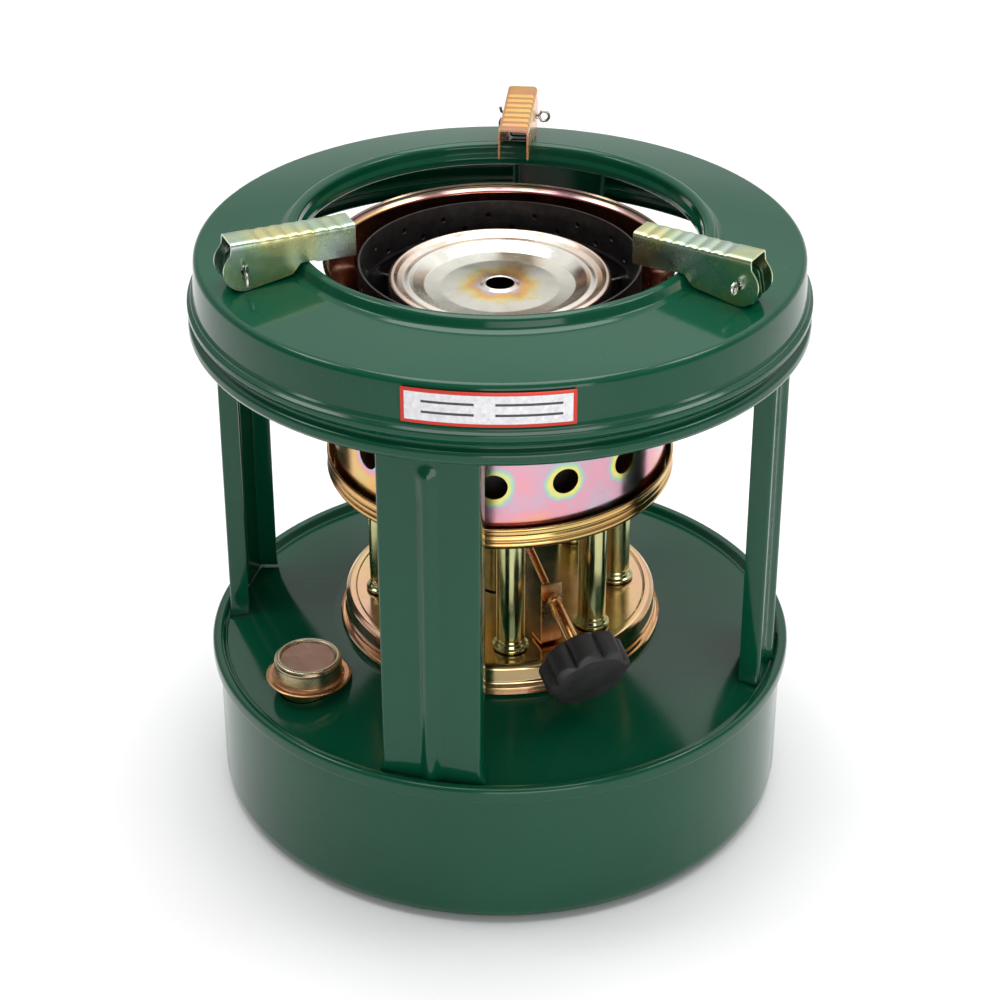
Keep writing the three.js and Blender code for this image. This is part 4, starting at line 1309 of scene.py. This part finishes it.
class STOVE_OT_legs(bpy.types.Operator):
    """Model the four channel legs, each with a round-ended rib and a spread foot cut to the deck's slope"""

    bl_idname = "stove.legs"
    bl_label = "Legs"
    bl_options = {"REGISTER", "UNDO"}

    def execute(self, context):
        half = half_sheet()
        low, top = foot_of("leg_1"), top_of("leg_1")
        width, flange = 39.0, 8.4
        web = LEG_FACE - half
        side = width / 2 - half
        depth, rib = sizes().rib_depth / MM, sizes().rib_width / MM / 2
        count = 24
        across = [(0.0, -side + 2.2 + (2 * side - 4.4) * i / count) for i in range(count + 1)]
        near = rounded([(-flange + half, -side), (0, -side, 2.0), across[0]])
        far = rounded([across[-1], (0, side, 2.0), (-flange + half, side)])
        fine = sorted({y for _, y in across} | {rib * 1.3 * (k / 10 - 1) for k in range(21)})
        line = [*near[:-1], *[(0.0, y) for y in fine], *far[1:]]
        height = top - low
        leg = rows([(web + x, y, low) for x, y in line], (0, 0, height / 130), 130)

        rib_end = RING_FOOT - 5

        def ridge(place):
            wide = rib * (1 + 0.3 * max(0.0, 1 - (rib_end - place.z) / 16))
            beyond = max(0.0, place.z - (rib_end - wide))
            distance = math.hypot(place.y, beyond) / wide
            return 0.5 + 0.5 * math.cos(math.pi * min(1.0, distance)) if place.x > web - 0.5 else 0.0

        pressed(leg, depth * MM, "X", ridge)

        def spread(place):
            return max(0.0, 1 - (place.z - low) / 9) ** 2

        for sign in (-1, 1):
            pressed(leg, sign * 2.0 * MM, "Y", lambda at: spread(at) if at.y * sign > rib + 4 else 0.0)
        thickened(leg)
        only(leg)
        bpy.ops.object.mode_set(mode="EDIT")
        bpy.ops.mesh.select_all(action="SELECT")
        deck_slope = 9.5 / 46
        bpy.ops.mesh.bisect(
            plane_co=Vector((LEG_FACE, 0, low + 0.05)) * MM,
            plane_no=(deck_slope, 0, 1),
            clear_inner=True,
            use_fill=True,
        )
        tidy_mesh()
        eased(leg, 0.15)

        def leg_place(i):
            return spoke((0, 0, 0), angle_of(centre_of(f"leg_{i}")))

        repeated(leg, "ring_leg", enamel(), "leg", LEGS, leg_place)
        return {"FINISHED"}


class STOVE_OT_plate(bpy.types.Operator):
    """Model the curved foil plate on the ring"""

    bl_idname = "stove.plate"
    bl_label = "Plate"
    bl_options = {"REGISTER", "UNDO"}

    def execute(self, context):
        low, high = (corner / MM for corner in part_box("rating_plate"))
        radius = -low.y - 0.22
        middle = angle_of(centre_of("rating_plate"))
        half_span = math.asin((high.x - low.x) / 2 / -low.y)
        count = 10
        side = [(radius, low.z + 0.1 + (high.z - low.z - 0.2) * i / count) for i in range(count + 1)]
        plate = turned(side, 40, half_span * 2)
        modify(plate, "SOLIDIFY", thickness=0.34 * MM, offset=0)
        eased(plate, 0.08)
        ends = [Vector(corner) for corner in plate.bound_box]
        settled(plate, Matrix.Rotation(middle - angle_of(sum(ends, Vector())), 4, "Z"))
        stands_for(plate, "maker_plate", plate_print(), "rating_plate")
        return {"FINISHED"}


# ------------------------------------------------------------------ pot supports
def hinge_place(i):
    """Matrix of a pot support's pin."""
    pin_at = joint_place(f"support_fold_{i}")
    return spoke(pin_at, angle_of(pin_at))


class STOVE_OT_supports(bpy.types.Operator):
    """Model the three folding pot supports: a bent channel with a ridged top and round hinge lobes"""

    bl_idname = "stove.supports"
    bl_label = "Pot Supports"
    bl_options = {"REGISTER", "UNDO"}

    def execute(self, context):
        pin = joint_place("support_fold_1")
        half = half_sheet()
        top = top_of("pot_support_1") - pin.z
        pin_circle = math.hypot(pin.x, pin.y)
        reach = 44.0
        side = 6.2 - half
        lobe = 8.2
        outer_end = 4.4
        rest = RING_TOP + 0.4 - pin.z
        bottom = -lobe - 1
        section = rounded(
            [(-side, bottom), (-side, top - half, 1.3), (side, top - half, 1.3), (side, bottom)], 5
        )
        span = reach + lobe + 1
        count = 150
        channel = rows([(-reach, y, z) for y, z in divided(section, 1.3)], (span / count, 0, 0), count)
        ridges = sizes().ridge_count
        pitch = (reach - 7) / ridges

        def groove(place):
            inside = -reach + 2.5 < place.x < -reach + 2.5 + pitch * ridges
            if not inside or place.z < top - 1.8:
                return 0.0
            wave = 0.5 - 0.5 * math.cos((place.x + reach - 2.5) / pitch * math.tau)
            return wave**1.4 * (1.0 if place.z > top - 0.9 else 0.35)

        pressed(channel, -sizes().ridge_depth, "Z", groove)
        thickened(channel)
        crest = CREST - pin_circle
        outline = rounded(
            [
                (-reach, top + 2), (-reach, rest - 0.6), (crest - 3.6, rest - 0.6, 1),
                (crest - 2.6, rest + 0.1, 1), (crest + 2.9, rest + 0.1, 1),
                (crest + 6.4, CONE_TOP + 1.5 - pin.z, 3), (-1.6, -lobe),
            ]
        )
        outline = [
            *outline[:-1],
            *arc(0, 0, lobe, -101, 38, 24),
            *rounded([(6.0, 5.9), (5.0, 6.8, 1.4), (outer_end, top + 2)])[1:],
        ]
        cutter = slab([(x, -side - 3, z) for x, z in outline], (0, 2 * side + 6, 0))
        shaped(channel, cutter, "INTERSECT")
        bored(channel, rod(1.55, (0, -9, 0), (0, 9, 0)))
        smooth(channel, 40)
        repeated(channel, "pan_support", support_zinc(), "pot_support", SUPPORTS, hinge_place)
        return {"FINISHED"}


class STOVE_OT_hinges(bpy.types.Operator):
    """Model the lugs inside the supports and the split pins through them"""

    bl_idname = "stove.hinges"
    bl_label = "Lugs and Split Pins"
    bl_options = {"REGISTER", "UNDO"}

    def execute(self, context):
        pin = joint_place("support_fold_1")
        half = half_sheet()
        base = foot_of("support_bracket_1") - pin.z + half
        lug = 4.6 - half
        count = 10
        section = rounded([(-lug, 4.0), (-lug, base, 1.0), (lug, base, 1.0), (lug, 4.0)], 4)
        saddle = rows([(-4.9, y, z) for y, z in section], (9.8 / count, 0, 0), count)
        thickened(saddle)
        dome = arc(0, 0, 3.8, 20, 160, 14)
        outline = [(-4.9, base - 1), (4.9, base - 1), (4.9, base + 1.5), *dome, (-4.9, base + 1.5)]
        shaped(saddle, slab([(x, -7, z) for x, z in outline], (0, 14, 0)), "INTERSECT")
        bored(saddle, rod(1.6, (0, -8, 0), (0, 8, 0)))
        smooth(saddle)

        end = 7.4
        turns = [math.tau * k / 24 for k in range(24)]
        eye = [(0, -end - 1.9 - 2.2 * math.cos(a), 2.2 * math.sin(a)) for a in turns]
        prong = 0.55
        upper = [
            (0, -end - 0.2, prong + 0.1), (0, -end + 1.4, prong), (0, end, prong),
            (0, end + 1.3, prong + 1.1), (0, end + 1.7, 3.4),
        ]
        lower = [
            (0, -end - 0.2, -prong - 0.1), (0, -end + 1.4, -prong), (0, end, -prong),
            (0, end + 1.2, -prong - 1.3), (0, end + 1.9, -3.2), (0, end + 1.8, -5.2),
        ]
        loop = [point for point in eye if point[1] < -end - 0.4]
        loop.sort(key=lambda at: math.atan2(at[2], -(at[1] + end + 1.9)))
        path = [*reversed(lower), *loop, *upper]
        split = wire(path, 0.62)
        for i in SUPPORTS:
            place = hinge_place(i)
            stands_for(copied(saddle, place), f"hinge_lug_{i}", enamel(), f"support_bracket_{i}")
            stands_for(copied(split, place), f"split_pin_{i}", bright_steel(), f"support_pin_{i}")
        bpy.data.objects.remove(saddle)
        bpy.data.objects.remove(split)
        return {"FINISHED"}


# ------------------------------------------------------------------ stage
class STOVE_OT_stage(bpy.types.Operator):
    """Set out the pale floor, the soft lights and the camera"""

    bl_idname = "stove.stage"
    bl_label = "Stage"
    bl_options = {"REGISTER", "UNDO"}

    def execute(self, context):
        stage = context.scene.stove_stage
        bpy.ops.object.select_all(action="DESELECT")
        bpy.ops.mesh.primitive_plane_add(size=8, location=(0, 0, 0))
        floor = context.object
        floor.name = "studio_floor"
        material, tree, shader, place = new_material("studio_floor", Roughness=0.6)
        pale = tuple(colours().floor)
        dim = tuple(c * 0.97 for c in pale)
        plug(tree, shader, {"Base Color": blend_colours(tree, noise(tree, place, 3.0), dim, pale)})
        floor.data.materials.append(material)

        world = bpy.data.worlds.new("studio")
        world.use_nodes = True
        tree = world.node_tree
        direction = put(tree, "TexCoord").outputs["Generated"]
        parts = parts_of(tree, direction)
        levels = ((0.0, 0.6), (1.0, 0.6), (0.12, 0.55), (0.3, 0.4), (0.5, 0.75), (0.68, 1.25))
        sky = ramp(tree, parts["Z"], *levels)
        back = ramp(tree, parts["Y"], (0.0, 0.3), (1.0, 1.0), (0.35, 0.8))
        side = calc(tree, "MULTIPLY_ADD", parts["X"], 0.3, 1.0)
        side = calc(tree, "MULTIPLY", side, back)
        shade = tree.nodes["Background"]
        tree.links.new(sky, shade.inputs["Color"])
        tree.links.new(calc(tree, "MULTIPLY", side, stage.world), shade.inputs["Strength"])
        context.scene.world = world

        lights = (
            ("top_light", (0.0, 0.1, 1.9), 1.3, stage.key),
            ("left_box", (-1.1, 0.1, 1.6), 0.5, stage.fill),
            ("right_box", (1.1, 0.1, 1.6), 0.5, stage.fill),
            ("front_fill", (0.35, -1.6, 0.3), 1.1, stage.front),
        )
        for name, place, size, power in lights:
            bpy.ops.object.light_add(type="AREA", location=place)
            light = context.object
            light.name = name
            light.data.size = size
            light.data.energy = power
            aim = Vector((0, 0, 0.12)) - light.location
            light.rotation_euler = aim.to_track_quat("-Z", "Y").to_euler()

        aim = Vector((0, 0, stage.aim))
        back = Vector((0, -math.cos(stage.elevation), math.sin(stage.elevation)))
        bpy.ops.object.camera_add(location=aim + back * stage.distance)
        camera = context.object
        camera.rotation_euler = (-back).to_track_quat("-Z", "Y").to_euler()
        camera.data.lens = stage.lens
        context.scene.camera = camera
        context.scene.view_settings.view_transform = "Standard"
        return {"FINISHED"}


# ------------------------------------------------------------------ panel and registration
OPERATORS = (
    STOVE_OT_stage, STOVE_OT_tank, STOVE_OT_filler, STOVE_OT_base, STOVE_OT_wick_tubes, STOVE_OT_wicks,
    STOVE_OT_spindle, STOVE_OT_knob, STOVE_OT_tray, STOVE_OT_casing, STOVE_OT_flame_tubes, STOVE_OT_dish,
    STOVE_OT_ring, STOVE_OT_legs, STOVE_OT_plate, STOVE_OT_supports, STOVE_OT_hinges,
)


class STOVE_PT_panel(bpy.types.Panel):
    """The stove's pieces, in the order in which they are built"""

    bl_idname = "STOVE_PT_panel"
    bl_label = "Wick Stove"
    bl_space_type = "VIEW_3D"
    bl_region_type = "UI"
    bl_category = "Stove"

    def draw(self, context):
        for operator in OPERATORS:
            self.layout.operator(operator.bl_idname)


GROUPS = {"stove_sizes": StoveSizes, "stove_colours": StoveColours, "stove_stage": StoveStage}


def register():
    for cls in (*GROUPS.values(), *OPERATORS, STOVE_PT_panel):
        bpy.utils.register_class(cls)
    for name, group in GROUPS.items():
        setattr(bpy.types.Scene, name, PointerProperty(type=group))


def unregister():
    for name in GROUPS:
        delattr(bpy.types.Scene, name)
    for cls in reversed((*GROUPS.values(), *OPERATORS, STOVE_PT_panel)):
        bpy.utils.unregister_class(cls)


def main():
    register()
    for operator in OPERATORS:
        group, name = operator.bl_idname.split(".")
        getattr(getattr(bpy.ops, group), name)()


if __name__ == "__main__":
    main()
